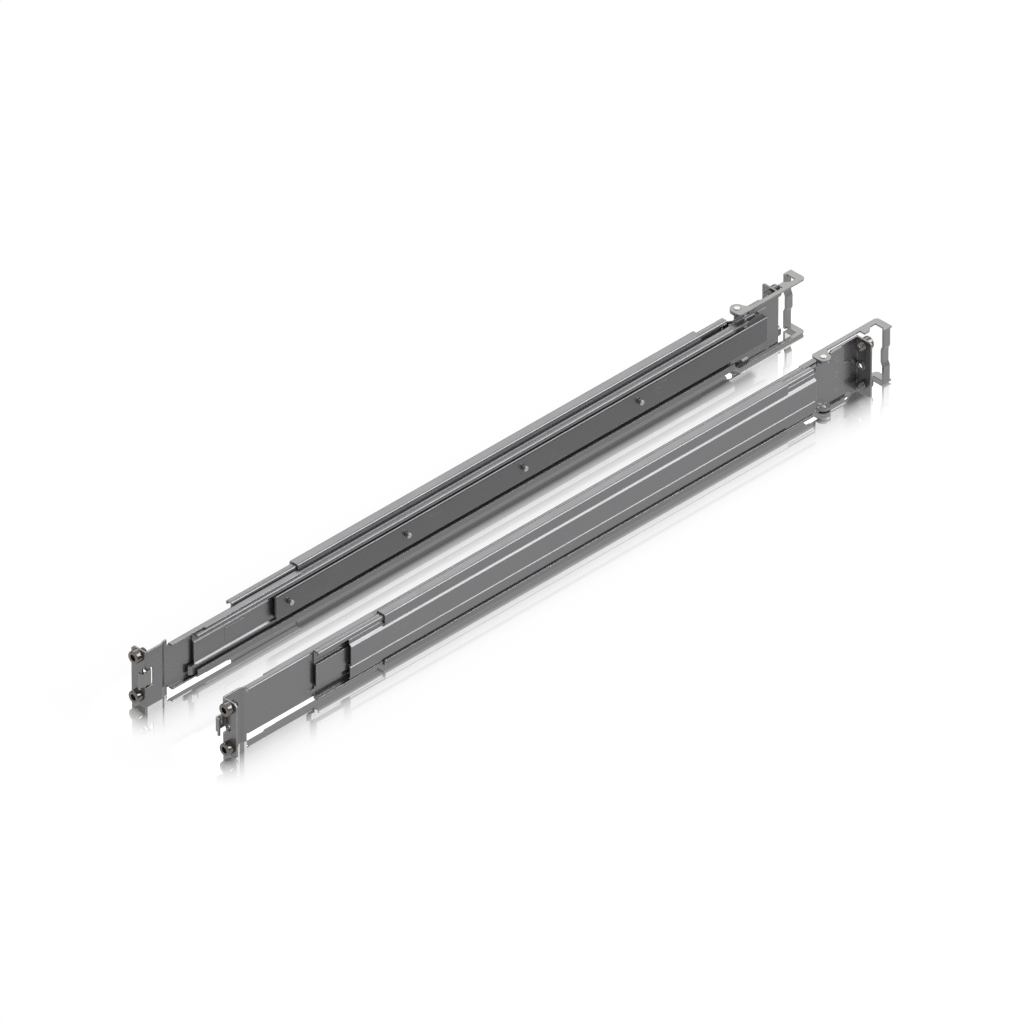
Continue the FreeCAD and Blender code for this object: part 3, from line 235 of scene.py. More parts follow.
def noise(tree, vector, scale, detail=2.0, roughness=0.5):
    node = tree.nodes.new("ShaderNodeTexNoise")
    node.inputs["Scale"].default_value = scale
    node.inputs["Detail"].default_value = detail
    node.inputs["Roughness"].default_value = roughness
    tree.links.new(vector, node.inputs["Vector"])
    return node.outputs["Fac"]


def drawn_noise(tree, vector, scales, detail, roughness=0.5):
    """Noise with a scale of its own along each axis, as in marks drawn out along the rail."""
    node = tree.nodes.new("ShaderNodeMapping")
    node.inputs["Scale"].default_value = scales
    tree.links.new(vector, node.inputs["Vector"])
    return noise(tree, node.outputs["Vector"], 1.0, detail, roughness)


# Effects that the materials share. Scales are counted per metre.

NOISE_MIDDLE = 0.5
NOISE_BAND = (0.3, 0.7)  # nearly all values of a noise lie between these
ROLLING_SCALES = (1400, 14, 1400)
CLOUD_SCALE = 55.0
GRIT_SCALE = 2600.0
CLOUD_ROUGHNESS = 0.05
LINE_ROUGHNESS = 0.04

EDGE_SAMPLES = 12
EDGE_TURN = (0.995, 0.93)  # cosine of the rounded normal's turn: where the painted edge highlight and wear start, and are full
EDGE_BREAK_SCALE = 400.0
EDGE_BREAKS = (0.35, 0.6, 0.45, 1.0)  # the noise's band, and the strength at its two ends

SCRATCH_SCALES = (900, 22, 900)
SCRATCH_WIDTH = 0.006  # of the noise's range, to each side of its middle
SCRATCH_PATCH_SCALE = 38.0
SCRATCH_PATCHES = (0.56, 0.66)  # noise at which scratches start, and are full


def rolled_sheet_group():
    """Rolling lines that run along the rail, cloudy plating and fine grit."""
    inputs = {"Line depth": 0.1, "Cloud depth": 0.08, "Grit height": 1.0}
    outputs = {"Tone": FLOAT, "Roughness": FLOAT, "Height": FLOAT}
    group, start, end = node_group("rolled_sheet", inputs, outputs)
    place = object_place(group)
    lines = drawn_noise(group, place, ROLLING_SCALES, detail=4.0, roughness=0.6)
    clouds = noise(group, place, CLOUD_SCALE, detail=3.0)
    grit = noise(group, place, GRIT_SCALE)
    line_tone = times(group, minus(group, lines, NOISE_MIDDLE), start.outputs["Line depth"])
    cloud_tone = times(group, minus(group, clouds, NOISE_MIDDLE), start.outputs["Cloud depth"])
    tone = plus(group, plus(group, line_tone, cloud_tone), 1.0)
    group.links.new(tone, end.inputs["Tone"])
    cloud_rough = ramp(group, clouds, *NOISE_BAND, -CLOUD_ROUGHNESS, CLOUD_ROUGHNESS)
    line_rough = ramp(group, lines, *NOISE_BAND, -LINE_ROUGHNESS, LINE_ROUGHNESS)
    group.links.new(plus(group, cloud_rough, line_rough), end.inputs["Roughness"])
    height = plus(group, times(group, grit, start.outputs["Grit height"]), lines)
    group.links.new(height, end.inputs["Height"])
    return group


def edge_highlight_and_wear_group():
    """A painted highlight along a sheet's edges, broken up in patches like rubbed wear, and the
    soft normal round that edge.
    """
    inputs = {"Radius": 0.2 * MM}
    outputs = {"Mask": FLOAT, "Normal": VECTOR}
    group, start, end = node_group("edge_highlight_and_wear", inputs, outputs)
    bevel = group.nodes.new("ShaderNodeBevel")
    bevel.samples = EDGE_SAMPLES
    group.links.new(start.outputs["Radius"], bevel.inputs["Radius"])
    geometry = group.nodes.new("ShaderNodeNewGeometry")
    dot = group.nodes.new("ShaderNodeVectorMath")
    dot.operation = "DOT_PRODUCT"
    group.links.new(bevel.outputs["Normal"], dot.inputs[0])
    group.links.new(geometry.outputs["Normal"], dot.inputs[1])
    breaks = noise(group, object_place(group), EDGE_BREAK_SCALE, detail=3.0)
    edge = ramp(group, dot.outputs["Value"], *EDGE_TURN)
    mask = times(group, edge, ramp(group, breaks, *EDGE_BREAKS), clamp=True)
    group.links.new(mask, end.inputs["Mask"])
    group.links.new(bevel.outputs["Normal"], end.inputs["Normal"])
    return group


def scratches_group():
    """Sparse fine scratches, mostly along the rail."""
    group, start, end = node_group("scratches", {"Amount": 0.5}, {"Mask": FLOAT})
    place = object_place(group)
    wave = drawn_noise(group, place, SCRATCH_SCALES, detail=1.0)
    line = ramp(group, distance_from(group, wave, NOISE_MIDDLE), SCRATCH_WIDTH, 0.0)
    patch = ramp(group, noise(group, place, SCRATCH_PATCH_SCALE), *SCRATCH_PATCHES)
    mask = times(group, times(group, line, patch), start.outputs["Amount"], clamp=True)
    group.links.new(mask, end.inputs["Mask"])
    return group


SHEET = rolled_sheet_group()
EDGE = edge_highlight_and_wear_group()
SCRATCH = scratches_group()


# Materials

SHEET_GRIT = 0.1
SCRATCH_AMOUNT = 0.4
RELIEF_STRENGTH = 0.4
SHEET_RELIEF = 0.0015 * MM
RUBBER_RELIEF = 0.03 * MM
RUBBER_SCALE = 1500.0
RUBBER_BAND = (0.2, 0.8)
RUBBER_TONE = (0.85, 1.15)
RUBBER_ROUGHNESS = (0.65, 0.8)


def place_group(tree, group, **values):
    node = tree.nodes.new("ShaderNodeGroup")
    node.node_tree = group
    for label, value in values.items():
        node.inputs[label.replace("_", " ")].default_value = value
    return node


def tinted(tree, colour, tone):
    """The colour, scaled by a tone."""
    node = tree.nodes.new("ShaderNodeMix")
    node.data_type = "RGBA"
    node.blend_type = "MULTIPLY"
    node.inputs["Factor"].default_value = 1.0
    node.inputs["A"].default_value = (*colour, 1)
    tree.links.new(tone, node.inputs["B"])
    return node.outputs["Result"]


def mixed(tree, mask, first, colour):
    """The first colour, and the other one where the mask is."""
    node = tree.nodes.new("ShaderNodeMix")
    node.data_type = "RGBA"
    tree.links.new(mask, node.inputs["Factor"])
    tree.links.new(first, node.inputs["A"])
    node.inputs["B"].default_value = (*colour, 1)
    return node.outputs["Result"]


def new_material(name):
    material = bpy.data.materials.new(name)
    material.use_nodes = True
    return material, material.node_tree, material.node_tree.nodes["Principled BSDF"]


def add_relief(tree, shader, height, distance, normal=None):
    relief = tree.nodes.new("ShaderNodeBump")
    relief.inputs["Strength"].default_value = RELIEF_STRENGTH
    relief.inputs["Distance"].default_value = distance
    tree.links.new(height, relief.inputs["Height"])
    if normal is not None:
        tree.links.new(normal, relief.inputs["Normal"])
    tree.links.new(relief.outputs["Normal"], shader.inputs["Normal"])


def steel(name, colour, wear_and_highlight_colour, roughness, metal, edge, lines=0.1, clouds=0.06):
    """Plated or turned steel with rolling lines, clouds, scratches, and edges painted bright as a
    highlight and as rubbed wear.
    """
    material, tree, shader = new_material(name)
    shader.inputs["Metallic"].default_value = metal
    sheet = place_group(tree, SHEET, Line_depth=lines, Cloud_depth=clouds, Grit_height=SHEET_GRIT)
    edge_sheen_and_wear = place_group(tree, EDGE, Radius=edge)
    marks = place_group(tree, SCRATCH, Amount=SCRATCH_AMOUNT)
    base = tinted(tree, colour, sheet.outputs["Tone"])
    base = mixed(tree, marks.outputs["Mask"], base, wear_and_highlight_colour)
    # The edge mask paints the bright colour along every edge: a painted highlight on the bends,
    # partly rubbed wear.
    base = mixed(tree, edge_sheen_and_wear.outputs["Mask"], base, wear_and_highlight_colour)
    tree.links.new(base, shader.inputs["Base Color"])
    rough = plus(tree, sheet.outputs["Roughness"], roughness, clamp=True)
    tree.links.new(rough, shader.inputs["Roughness"])
    add_relief(tree, shader, sheet.outputs["Height"], SHEET_RELIEF, edge_sheen_and_wear.outputs["Normal"])
    return material


def rubber(name, colour):
    material, tree, shader = new_material(name)
    grain = noise(tree, object_place(tree), RUBBER_SCALE, detail=3.0)
    tone = ramp(tree, grain, *RUBBER_BAND, *RUBBER_TONE)
    tree.links.new(tinted(tree, colour, tone), shader.inputs["Base Color"])
    rough = ramp(tree, grain, *RUBBER_BAND, *RUBBER_ROUGHNESS)
    tree.links.new(rough, shader.inputs["Roughness"])
    add_relief(tree, shader, grain, RUBBER_RELIEF)
    return material


# The second colour of each steel is painted on scratches and along edges. Along edges it is a
# painted highlight on the bends as well as wear.
STEELS = {
    "side_steel": {
        "colour": (0.22, 0.216, 0.222), "wear_and_highlight_colour": (0.62, 0.61, 0.62),
        "roughness": 0.27, "metal": 0.85, "edge": 0.3 * MM, "lines": 0.03,
    },
    "slide_steel": {
        "colour": (0.22, 0.216, 0.222), "wear_and_highlight_colour": (0.4, 0.39, 0.4),
        "roughness": 0.34, "metal": 0.85, "edge": 0.3 * MM, "lines": 0.03,
    },
    # Darker than side_steel as painted shade: the inner plate faces the other rail.
    "inner_steel": {
        "colour": (0.15, 0.149, 0.154), "wear_and_highlight_colour": (0.62, 0.61, 0.62),
        "roughness": 0.28, "metal": 0.85, "edge": 0.35 * MM, "lines": 0.03,
    },
    "latch_steel": {
        "colour": (0.25, 0.25, 0.246), "wear_and_highlight_colour": (0.42, 0.42, 0.41),
        "roughness": 0.25, "metal": 0.8, "edge": 0.25 * MM, "lines": 0.03,
    },
    "screw_steel": {
        "colour": (0.2, 0.188, 0.176), "wear_and_highlight_colour": (0.5, 0.48, 0.46),
        "roughness": 0.12, "metal": 1.0, "edge": 0.05 * MM, "lines": 0.02,
    },
    "pin_steel": {
        "colour": (0.5, 0.49, 0.48), "wear_and_highlight_colour": (0.7, 0.7, 0.7),
        "roughness": 0.14, "metal": 1.0, "edge": 0.05 * MM, "lines": 0.02,
    },
    "spring_steel": {
        "colour": (0.16, 0.16, 0.17), "wear_and_highlight_colour": (0.3, 0.3, 0.3),
        "roughness": 0.2, "metal": 1.0, "edge": 0.05 * MM,
    },
    "cage_steel": {
        "colour": (0.3, 0.29, 0.27), "wear_and_highlight_colour": (0.5, 0.5, 0.5),
        "roughness": 0.25, "metal": 1.0, "edge": 0.1 * MM,
    },
    "ball_steel": {
        "colour": (0.6, 0.6, 0.61), "wear_and_highlight_colour": (0.6, 0.6, 0.61),
        "roughness": 0.06, "metal": 1.0, "edge": 0.01 * MM, "lines": 0.0, "clouds": 0.02,
    },
}
FINISHES = {name: steel(name, **look) for name, look in STEELS.items()}
FINISHES["bumper_rubber"] = rubber("bumper_rubber", (0.035, 0.035, 0.037))


def dress_nodes():
    """Gives each construction part the finish that the record names for it."""
    for subpart in frame["record"]["subparts"]:
        node = nodes[subpart["node"]]
        finish = FINISHES[subpart["material_slot"]]
        if subpart["node"].endswith("bracket_rivets"):
            finish = FINISHES["side_steel"]  # plated together with the sheet that they hold
        if not node.material_slots:
            node.data.materials.append(finish)
        for slot in node.material_slots:
            slot.material = finish


# Rows of equal pieces


def row_group():
    """Copies its geometry in a row, and gives the copies one finish."""
    group = bpy.data.node_groups.new("row_of_copies", "GeometryNodeTree")
    sockets = group.interface
    inputs = {}
    sockets.new_socket(name="Geometry", in_out="INPUT", socket_type="NodeSocketGeometry")
    for label, kind in (
        ("Count", "NodeSocketInt"),
        ("Step", VECTOR),
        ("Finish", "NodeSocketMaterial"),
    ):
        socket = sockets.new_socket(name=label, in_out="INPUT", socket_type=kind)
        inputs[label] = socket.identifier
    sockets.new_socket(name="Geometry", in_out="OUTPUT", socket_type="NodeSocketGeometry")
    start = group.nodes.new("NodeGroupInput")
    end = group.nodes.new("NodeGroupOutput")
    line = group.nodes.new("GeometryNodeMeshLine")
    copies = group.nodes.new("GeometryNodeInstanceOnPoints")
    real = group.nodes.new("GeometryNodeRealizeInstances")
    finish = group.nodes.new("GeometryNodeSetMaterial")
    group.links.new(start.outputs["Count"], line.inputs["Count"])
    group.links.new(start.outputs["Step"], line.inputs["Offset"])
    group.links.new(line.outputs["Mesh"], copies.inputs["Points"])
    group.links.new(start.outputs["Geometry"], copies.inputs["Instance"])
    group.links.new(copies.outputs["Instances"], real.inputs["Geometry"])
    group.links.new(real.outputs["Geometry"], finish.inputs["Geometry"])
    group.links.new(start.outputs["Finish"], finish.inputs["Material"])
    group.links.new(finish.outputs["Geometry"], end.inputs["Geometry"])
    return group, inputs


ROW, ROW_INPUTS = row_group()


def row_of(name, work, count, step, slot, node):
    """Pieces in a row, in place of the construction part that holds them."""
    piece = new_object(name, mesh_of(name, work))
    rows = piece.modifiers.new("row", "NODES")
    rows.node_group = ROW
    rows[ROW_INPUTS["Count"]] = count
    rows[ROW_INPUTS["Step"]] = step
    rows[ROW_INPUTS["Finish"]] = FINISHES[slot]
    graph = bpy.context.evaluated_depsgraph_get()
    whole = bpy.data.meshes.new_from_object(piece.evaluated_get(graph))
    piece.modifiers.remove(rows)
    piece.data = whole
    stand_in(piece, node)


def single(name, work, slot, sharp_angle=SHARP_ANGLE):
    """One mesh in one finish."""
    mesh = mesh_of(name, work, sharp_angle)
    mesh.materials.append(FINISHES[slot])
    return new_object(name, mesh)


# Screws and threads

SCREWS_PER_FLANGE = 2
SCREW_PITCH = 31.75 * MM
HEAD_RADIUS = 4.7 * MM
HEAD_LENGTH = 5.2 * MM
HEAD_CHAMFER = 0.25 * MM
HEAD_ROUNDING = 0.8 * MM
SOCKET_RADIUS = 2.5 * MM
SOCKET_DEPTH = 2.6 * MM
SOCKET_CHAMFER = 0.25 * MM
SOCKET_CONE = 0.6 * MM
SOCKET_RIM = 0.7 * MM
SHANK_RADIUS = 3.2 * MM
SHANK_LENGTH = 6.2 * MM
TIP_CHAMFER = 0.35 * MM
TIP_LENGTH = 0.3 * MM
NECK_LENGTH = 0.7 * MM
NECK_EASE = 0.2 * MM  # from the thread's end to the plain neck under the head

THREAD_PITCH = 1.6 * MM
THREAD_DEPTH = 0.8 * MM
THREAD_RINGS = 12  # rings per turn
THREAD_RUN_OUT = 4  # rings over which the thread rises from its root
TOOTH_SLOPE = 1.25  # how steeply the thread falls from its crest to its root
TOOTH_CREST = 0.12  # share of the depth cut off flat at the crest

# The threaded hole between the screws, in a collar on each flange
HOLE_X = 41.5 * MM
HOLE_Z = 22 * MM
HOLE_DEPTH = 2.6 * MM
HOLE_WALL = 2.49 * MM
HOLE_THREAD_RADIUS = 2.42 * MM
HOLE_THREAD_DEPTH = 0.4 * MM
HOLE_MARGIN = 0.05 * MM
HOLE_THREAD_MARGIN = 0.15 * MM


def rounded_end(distance, radius, round_by, outward=1, parts=5):
    """The points of a rounded edge, from a cylinder's side to its end face."""
    points = []
    for part in range(parts + 1):
        angle = math.pi / 2 * part / parts
        along = distance - outward * round_by * (1 - math.sin(angle))
        points.append((along, radius - round_by * (1 - math.cos(angle))))
    return points


def hexagon(corner_radius):
    """The radius of a hexagon at an angle."""
    flat = corner_radius * math.cos(math.pi / 6)

    def reach(angle):
        turn = (angle % (math.pi / 3)) - math.pi / 6
        return flat / math.cos(turn)

    return reach


def thread_ring(distance, crest, depth):
    """The radius of a thread at one distance, round the axis."""

    def reach(angle):
        turn = (distance / THREAD_PITCH - angle / (2 * math.pi)) % 1.0
        tooth = min(turn, 1.0 - turn) * 2
        return crest - depth * min(max(TOOTH_SLOPE * tooth - TOOTH_CREST, 0.0), 1.0)

    return reach


def threaded_run(start, end, crest, depth, run_out):
    """Rings of a thread from start to end, which rises from its root over the first rings."""
    count = int(round(abs(end - start) / THREAD_PITCH * THREAD_RINGS))
    rings = []
    for index in range(count + 1):
        distance = start + (end - start) * index / count
        ease = min(1.0, index / run_out) if run_out else 1.0
        top = crest - depth * (1 - ease)
        rings.append((distance, thread_ring(distance, top, depth * ease)))
    return rings


def cap_screw(work, centre, axis):
    """One cap screw with its seat at the centre and its head towards the axis."""
    root = SHANK_RADIUS - THREAD_DEPTH
    thread_start = -SHANK_LENGTH + TIP_LENGTH
    thread_end = -(NECK_LENGTH + NECK_EASE)
    floor = HEAD_LENGTH - SOCKET_DEPTH
    socket = hexagon(SOCKET_RADIUS)
    profile = [
        (-SHANK_LENGTH, 0.0),
        (-SHANK_LENGTH, root - TIP_CHAMFER),
        *threaded_run(thread_start, thread_end, SHANK_RADIUS, THREAD_DEPTH, THREAD_RUN_OUT),
        (-NECK_LENGTH, root),
        (0.0, root),
        (0.0, HEAD_RADIUS - HEAD_CHAMFER),
        (HEAD_CHAMFER, HEAD_RADIUS),
        *rounded_end(HEAD_LENGTH, HEAD_RADIUS, HEAD_ROUNDING),
        (HEAD_LENGTH, SOCKET_RADIUS + SOCKET_RIM),
        (HEAD_LENGTH, hexagon(SOCKET_RADIUS + SOCKET_CHAMFER)),
        (HEAD_LENGTH - SOCKET_CHAMFER, socket),
        (floor, socket),
        (floor - SOCKET_CONE, 0.0),
    ]
    lathe(work, profile, centre, axis)


def add_screws():
    for side, _ in SIDES:
        for place, facing in (("front", -1), ("rear", 1)):
            node = side + "_" + place + "_screws"
            low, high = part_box(node)
            seat_y = (low.y if facing < 0 else high.y) - HEAD_LENGTH * facing
            centre = Vector(((low.x + high.x) / 2, seat_y, low.z + HEAD_RADIUS))
            work = bmesh.new()
            cap_screw(work, centre, (0, facing, 0))
            name = side + "_" + place + "_cap_screws"
            step = (0, 0, SCREW_PITCH)
            row_of(name, work, SCREWS_PER_FLANGE, step, "screw_steel", node)


def add_mid_threads():
    """The cut thread in the collar between the screws, front and rear."""
    thread = threaded_run(
        HOLE_THREAD_MARGIN, HOLE_DEPTH - HOLE_THREAD_MARGIN,
        HOLE_THREAD_RADIUS, HOLE_THREAD_DEPTH, run_out=0,
    )
    wall_start = (HOLE_MARGIN, HOLE_WALL)
    wall_end = (HOLE_DEPTH - HOLE_MARGIN, HOLE_WALL)
    for side, sign in SIDES:
        front_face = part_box(side + "_front_bracket")[0].y
        rear_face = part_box(side + "_rear_bracket")[1].y
        for place, start, body in (
            ("front", front_face, "fixed_rails"),
            ("rear", rear_face - HOLE_DEPTH, side + "_rear_extension"),
        ):
            work = bmesh.new()
            centre = Vector((sign * HOLE_X, start, HOLE_Z))
            lathe(work, [wall_start, *thread, wall_end, wall_start], centre, (0, 1, 0))
            piece = single(side + "_" + place + "_mid_thread", work, "screw_steel")
            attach(piece, body)


# Studs, pivots and balls

STUD_COUNT = 4
STUD_HEAD_LENGTH = 2.1 * MM
STUD_ROUNDING = 0.5 * MM
STUD_NECK_RADIUS = 1.4 * MM

UPPER_PIVOT_LENGTH = 3.3 * MM
LOWER_PIVOT_LENGTH = 4.8 * MM
PIVOT_NECK_RADIUS = 1.6 * MM
PIVOT_HEAD_LENGTH = 0.4 * MM
PIVOT_ROUNDING = 0.25 * MM
PIVOT_EDGE_DROP = 0.08 * MM
PIVOT_FACE_DROP = 0.02 * MM
PIVOT_FACE_SHARE = 0.45
PIVOT_TAIL_RADIUS = 2.1 * MM
PIVOT_TAIL_CROWN = 0.5 * MM
PIVOT_TAIL_PARTS = 6

UPPER_BALL_RADIUS = 1.35 * MM
LOWER_BALL_RADIUS = 1.1 * MM
BALLS_PER_ROW = 9
BALL_PARTS = 16
BALL_STEPS = 28


def add_studs():
    """Headed studs on the inner plate, which hang in the server's keyhole slots."""
    for side, sign in SIDES:
        node = side + "_server_studs"
        low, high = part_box(node)
        head = (high.z - low.z) / 2
        length = high.x - low.x
        tip = high.x if sign < 0 else low.x
        centre = Vector((tip, low.y + head, (low.z + high.z) / 2))
        profile = [
            (0.0, 0.0),
            *rounded_end(0.0, head, STUD_ROUNDING, outward=-1)[::-1],
            (STUD_HEAD_LENGTH, head),
            (STUD_HEAD_LENGTH, STUD_NECK_RADIUS),
            (length, STUD_NECK_RADIUS),
            (length, 0.0),
        ]
        work = bmesh.new()
        lathe(work, profile, centre, (sign, 0, 0))
        step = (high.y - low.y - head * 2) / (STUD_COUNT - 1)
        row_of(side + "_headed_studs", work, STUD_COUNT, (0, step, 0), "pin_steel", node)


def pivot_profile(head, length):
    """From the domed inner end of a bail pivot to its low outer head."""
    profile = []
    for part in range(PIVOT_TAIL_PARTS + 1):
        angle = math.pi / 2 * part / PIVOT_TAIL_PARTS
        crown = PIVOT_TAIL_CROWN * math.cos(angle)
        profile.append((-length - crown, PIVOT_TAIL_RADIUS * math.sin(angle)))
    profile += [
        (-length, PIVOT_NECK_RADIUS),
        (-PIVOT_HEAD_LENGTH, PIVOT_NECK_RADIUS),
        (-PIVOT_HEAD_LENGTH, head),
        *rounded_end(-PIVOT_EDGE_DROP, head, PIVOT_ROUNDING, parts=4),
        (-PIVOT_FACE_DROP, head * PIVOT_FACE_SHARE),
        (0.0, 0.0),
    ]
    return profile


def add_pivots():
    """Solid rivets with low heads outside and domes inside, above and below the bail."""
    for side, _ in SIDES:
        node = side + "_latch_pivots"
        low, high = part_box(node)
        head = (high.x - low.x) / 2
        place = middle(node)
        work = bmesh.new()
        for end_z, outward, length in (
            (high.z, 1, UPPER_PIVOT_LENGTH),
            (low.z, -1, LOWER_PIVOT_LENGTH),
        ):
            centre = Vector((place.x, place.y, end_z))
            lathe(work, pivot_profile(head, length), centre, (0, 0, outward))
        stand_in(single(side + "_bail_pivots", work, "pin_steel"), node)


def ball(work, centre, radius):
    profile = [(-radius, 0.0)]
    for part in range(1, BALL_PARTS):
        angle = math.pi * part / BALL_PARTS
        profile.append((-radius * math.cos(angle), radius * math.sin(angle)))
    profile.append((radius, 0.0))
    lathe(work, profile, centre, (0, 0, 1), steps=BALL_STEPS)


def add_balls():
    """Two rows of balls, each pair copied along its cage."""
    for side, sign in SIDES:
        node = side + "_slide_balls"
        low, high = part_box(node)
        outer_x = high.x if sign > 0 else low.x
        inner_x = low.x if sign > 0 else high.x
        first_y = low.y + UPPER_BALL_RADIUS
        upper_x = outer_x - sign * UPPER_BALL_RADIUS
        lower_x = inner_x + sign * LOWER_BALL_RADIUS
        work = bmesh.new()
        ball(work, Vector((upper_x, first_y, high.z - UPPER_BALL_RADIUS)), UPPER_BALL_RADIUS)
        ball(work, Vector((lower_x, first_y, low.z + LOWER_BALL_RADIUS)), LOWER_BALL_RADIUS)
        step = (high.y - low.y - UPPER_BALL_RADIUS * 2) / (BALLS_PER_ROW - 1)
        row_of(side + "_bearing_balls", work, BALLS_PER_ROW, (0, step, 0), "ball_steel", node)


# Torsion springs

COIL_TURNS = 2
COIL_STEPS = 28  # points of the wire per turn
COIL_SHARP_ANGLE = math.radians(50)
HOOK_WIRE = 0.4 * MM
LATCH_WIRE = 0.7 * MM
# Angle and length of the first leg, then of the last leg
HOOK_LEGS = (math.radians(-90), 2.2 * MM, math.radians(0), 1.6 * MM)
LATCH_LEGS = (math.radians(180), 5.0 * MM, math.radians(200), 6.0 * MM)


def torsion_spring(name, node, wire, legs):
    """A close-wound helix with two straight legs, in place of its sleeve."""
    low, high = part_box(node)
    centre = middle(node)
    radius = (high.x - low.x) / 2 - wire / 2
    low_z = low.z + wire / 2
    rise = high.z - low.z - wire
    first_angle, first_leg, last_angle, last_leg = legs
    whole_angle = 2 * math.pi * COIL_TURNS + (last_angle - first_angle)
    count = COIL_TURNS * COIL_STEPS
    points = []
    for index in range(count + 1):
        share = index / count
        angle = first_angle + whole_angle * share
        spot = Vector((math.cos(angle), math.sin(angle), 0)) * radius
        points.append(Vector((centre.x, centre.y, low_z + rise * share)) + spot)
    start_way = Vector((math.sin(first_angle), -math.cos(first_angle), 0))
    end_angle = first_angle + whole_angle
    end_way = Vector((-math.sin(end_angle), math.cos(end_angle), 0))
    points = [points[0] + start_way * first_leg, *points, points[-1] + end_way * last_leg]
    work = bmesh.new()
    sweep(work, points, wire / 2)
    stand_in(single(name, work, "spring_steel", COIL_SHARP_ANGLE), node)


def add_springs():
    for side, _ in SIDES:
        torsion_spring(side + "_hook_coil", side + "_front_hook_spring", HOOK_WIRE, HOOK_LEGS)
        torsion_spring(side + "_latch_coil", side + "_latch_spring", LATCH_WIRE, LATCH_LEGS)


# Floor, world, lights and camera

WHITE = (1, 1, 1, 1)
FLOOR_HALF_SIZE = 4.0
FLOOR_DROP = 0.02 * MM
FLOOR_MATT_SHARE = 0.12  # the rest of the floor is plain white, so the shadows stay faint
FLOOR_IN_METAL = 0.78  # strength of the floor as the steel mirrors it
MIRROR_ROUGHNESS = 0.04
MIRROR_REACH = 32 * MM
MIRROR_FADE = 2.3
MIRROR_SHARE = 0.9

ROOM_HEIGHTS = (0.0, 0.5)  # upward share of a ray, from the horizon to where the room is white
ROOM_STRENGTHS = (0.12, 0.8)
FILL_STRENGTH = 0.8

# Name, place, width and height, power
SOFTBOXES = (
    ("left_rear_softbox", (-1.3, 1.3, 1.3), (1.5, 1.2), 6.0),
    ("right_rear_softbox", (1.25, 1.25, 1.25), (1.5, 1.5), 23.0),
)

CAMERA_AZIMUTH = math.radians(44.916)
CAMERA_ELEVATION = math.radians(34.767)
CAMERA_DISTANCE = 20.0
CAMERA_TARGET = (0, -9, 22)  # in mm, and so are the shifts
CAMERA_SHIFT_RIGHT = 5.89
CAMERA_SHIFT_UP = 5.23
PIXELS_PER_MM = 1.5085
PICTURE_WIDTH = 1024
SENSOR_WIDTH = 36.0


def beside_rails(tree):
    """How far a point of the floor lies from the nearest rail's footprint, in metres."""
    split = tree.nodes.new("ShaderNodeSeparateXYZ")
    tree.links.new(object_place(tree), split.inputs[0])
    inner_low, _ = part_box("right_inner_plate")
    _, outer_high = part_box("right_wrap_channel")
    half_width = (outer_high.x - inner_low.x) / 2
    centre_x = (outer_high.x + inner_low.x) / 2
    across = math_node(tree, "ABSOLUTE", split.outputs["X"])
    across = minus(tree, distance_from(tree, across, centre_x), half_width)
    along = math_node(tree, "ABSOLUTE", split.outputs["Y"])
    along = minus(tree, along, cad_high.y)
    across = power(tree, larger(tree, across, 0.0), 2.0)
    along = power(tree, larger(tree, along, 0.0), 2.0)
    return math_node(tree, "SQRT", plus(tree, across, along))


def floor_material():
    """Plain white with a faint shadow, and a mirror image that fades away from the rails."""
    material, tree, _ = new_material("studio_floor")
    tree.nodes.clear()
    ray = tree.nodes.new("ShaderNodeLightPath").outputs
    white = tree.nodes.new("ShaderNodeEmission")
    brightness = ramp(tree, ray["Is Glossy Ray"], 0.0, 1.0, 1.0, FLOOR_IN_METAL)
    tree.links.new(brightness, white.inputs["Strength"])
    matt = tree.nodes.new("ShaderNodeBsdfDiffuse")
    matt.inputs["Color"].default_value = WHITE
    ground = tree.nodes.new("ShaderNodeMixShader")
    ground.inputs["Fac"].default_value = FLOOR_MATT_SHARE
    tree.links.new(white.outputs[0], ground.inputs[1])
    tree.links.new(matt.outputs[0], ground.inputs[2])
    gloss = tree.nodes.new("ShaderNodeBsdfGlossy")
    gloss.inputs["Roughness"].default_value = MIRROR_ROUGHNESS
    near = power(tree, ramp(tree, beside_rails(tree), MIRROR_REACH, 0.0), MIRROR_FADE)
    near = times(tree, near, ray["Is Camera Ray"])
    shine = tree.nodes.new("ShaderNodeMixShader")
    tree.links.new(times(tree, near, MIRROR_SHARE), shine.inputs["Fac"])
    tree.links.new(ground.outputs[0], shine.inputs[1])
    tree.links.new(gloss.outputs[0], shine.inputs[2])
    output = tree.nodes.new("ShaderNodeOutputMaterial")
    tree.links.new(shine.outputs[0], output.inputs["Surface"])
    return material


def add_floor():
    work = bmesh.new()
    bmesh.ops.create_grid(work, x_segments=1, y_segments=1, size=FLOOR_HALF_SIZE)
    mesh = bpy.data.meshes.new("studio_floor")
    work.to_mesh(mesh)
    work.free()
    mesh.materials.append(floor_material())
    floor = new_object("studio_floor", mesh)
    floor.location.z = -FLOOR_DROP


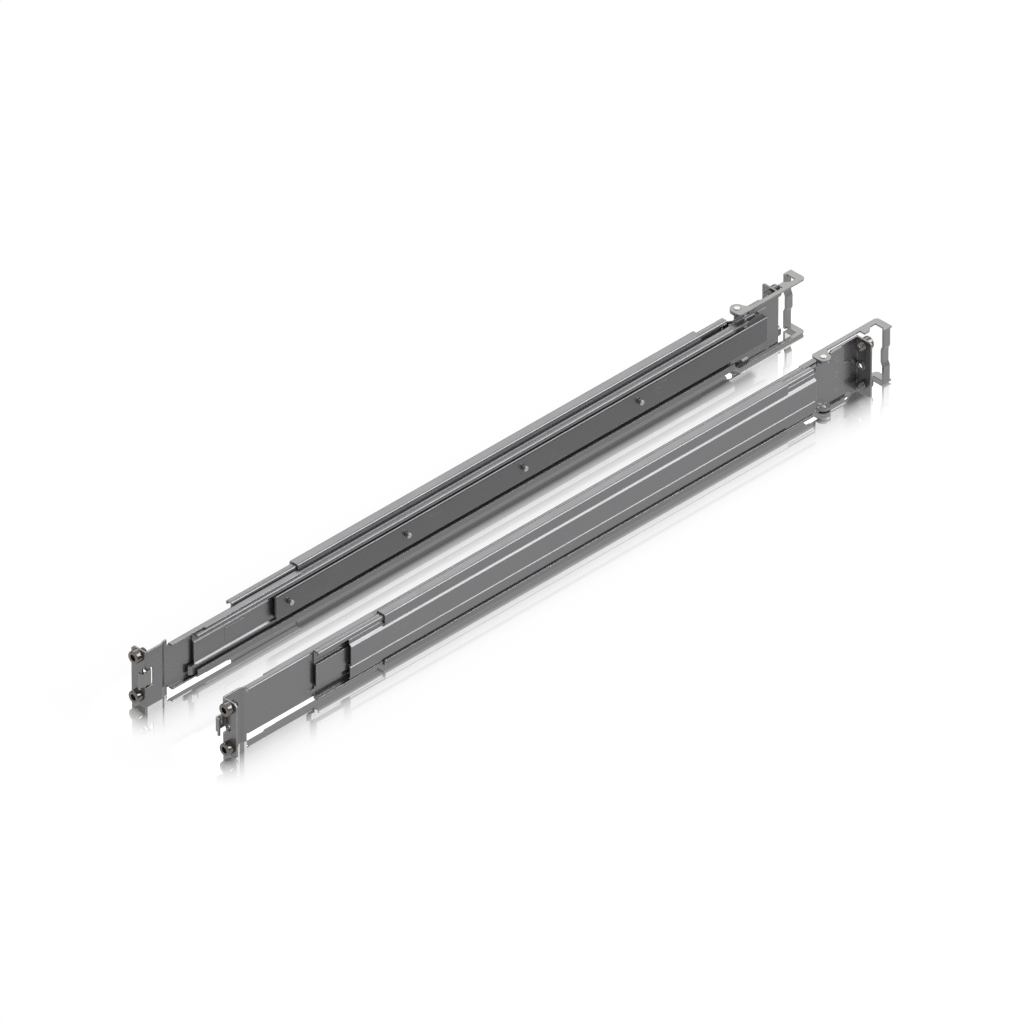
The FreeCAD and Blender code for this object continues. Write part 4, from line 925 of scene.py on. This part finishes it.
def add_world():
    """White to the camera; to the metal, a white room that darkens towards the horizon."""
    world = bpy.data.worlds.new("studio")
    scene.world = world
    world.use_nodes = True
    tree = world.node_tree
    background = tree.nodes["Background"]
    background.inputs["Color"].default_value = WHITE
    ray = tree.nodes.new("ShaderNodeLightPath").outputs
    direction = tree.nodes.new("ShaderNodeTexCoord").outputs["Generated"]
    split = tree.nodes.new("ShaderNodeSeparateXYZ")
    tree.links.new(direction, split.inputs[0])
    room = ramp(tree, split.outputs["Z"], *ROOM_HEIGHTS, *ROOM_STRENGTHS)
    mirrored = larger(tree, ray["Is Glossy Ray"], ray["Is Transmission Ray"])
    lit = minus(tree, 1.0, mirrored)
    strength = plus(tree, times(tree, room, mirrored), times(tree, lit, FILL_STRENGTH))
    strength = larger(tree, strength, ray["Is Camera Ray"])
    tree.links.new(strength, background.inputs["Strength"])


def add_lights():
    """Large soft lamps behind the rails, which look at the origin."""
    for name, place, (width, height), watts in SOFTBOXES:
        light = bpy.data.lights.new(name, "AREA")
        light.shape = "RECTANGLE"
        light.size = width
        light.size_y = height
        light.energy = watts
        lamp = new_object(name, light)
        lamp.location = place
        lamp.rotation_mode = "QUATERNION"
        lamp.rotation_quaternion = Vector(place).to_track_quat("Z", "Y")


def add_camera():
    """A long lens at the photograph's angle, far back."""
    back = Vector((
        math.cos(CAMERA_ELEVATION) * math.sin(CAMERA_AZIMUTH),
        -math.cos(CAMERA_ELEVATION) * math.cos(CAMERA_AZIMUTH),
        math.sin(CAMERA_ELEVATION),
    ))
    right = Vector((math.cos(CAMERA_AZIMUTH), math.sin(CAMERA_AZIMUTH), 0))
    up = back.cross(right)
    place = Vector(CAMERA_TARGET) * MM + back * CAMERA_DISTANCE
    place += right * CAMERA_SHIFT_RIGHT * MM
    place += up * CAMERA_SHIFT_UP * MM
    lens = bpy.data.cameras.new("camera")
    lens.sensor_width = SENSOR_WIDTH
    lens.lens = PIXELS_PER_MM * (CAMERA_DISTANCE / MM) / PICTURE_WIDTH * SENSOR_WIDTH
    lens.clip_end = CAMERA_DISTANCE * 5
    camera = new_object("camera", lens)
    camera.location = place
    camera.rotation_mode = "QUATERNION"
    camera.rotation_quaternion = back.to_track_quat("Z", "Y")
    scene.camera = camera


dress_nodes()
add_screws()
add_mid_threads()
add_studs()
add_pivots()
add_balls()
add_springs()
add_floor()
add_world()
add_lights()
add_camera()
scene.view_settings.view_transform = "Standard"
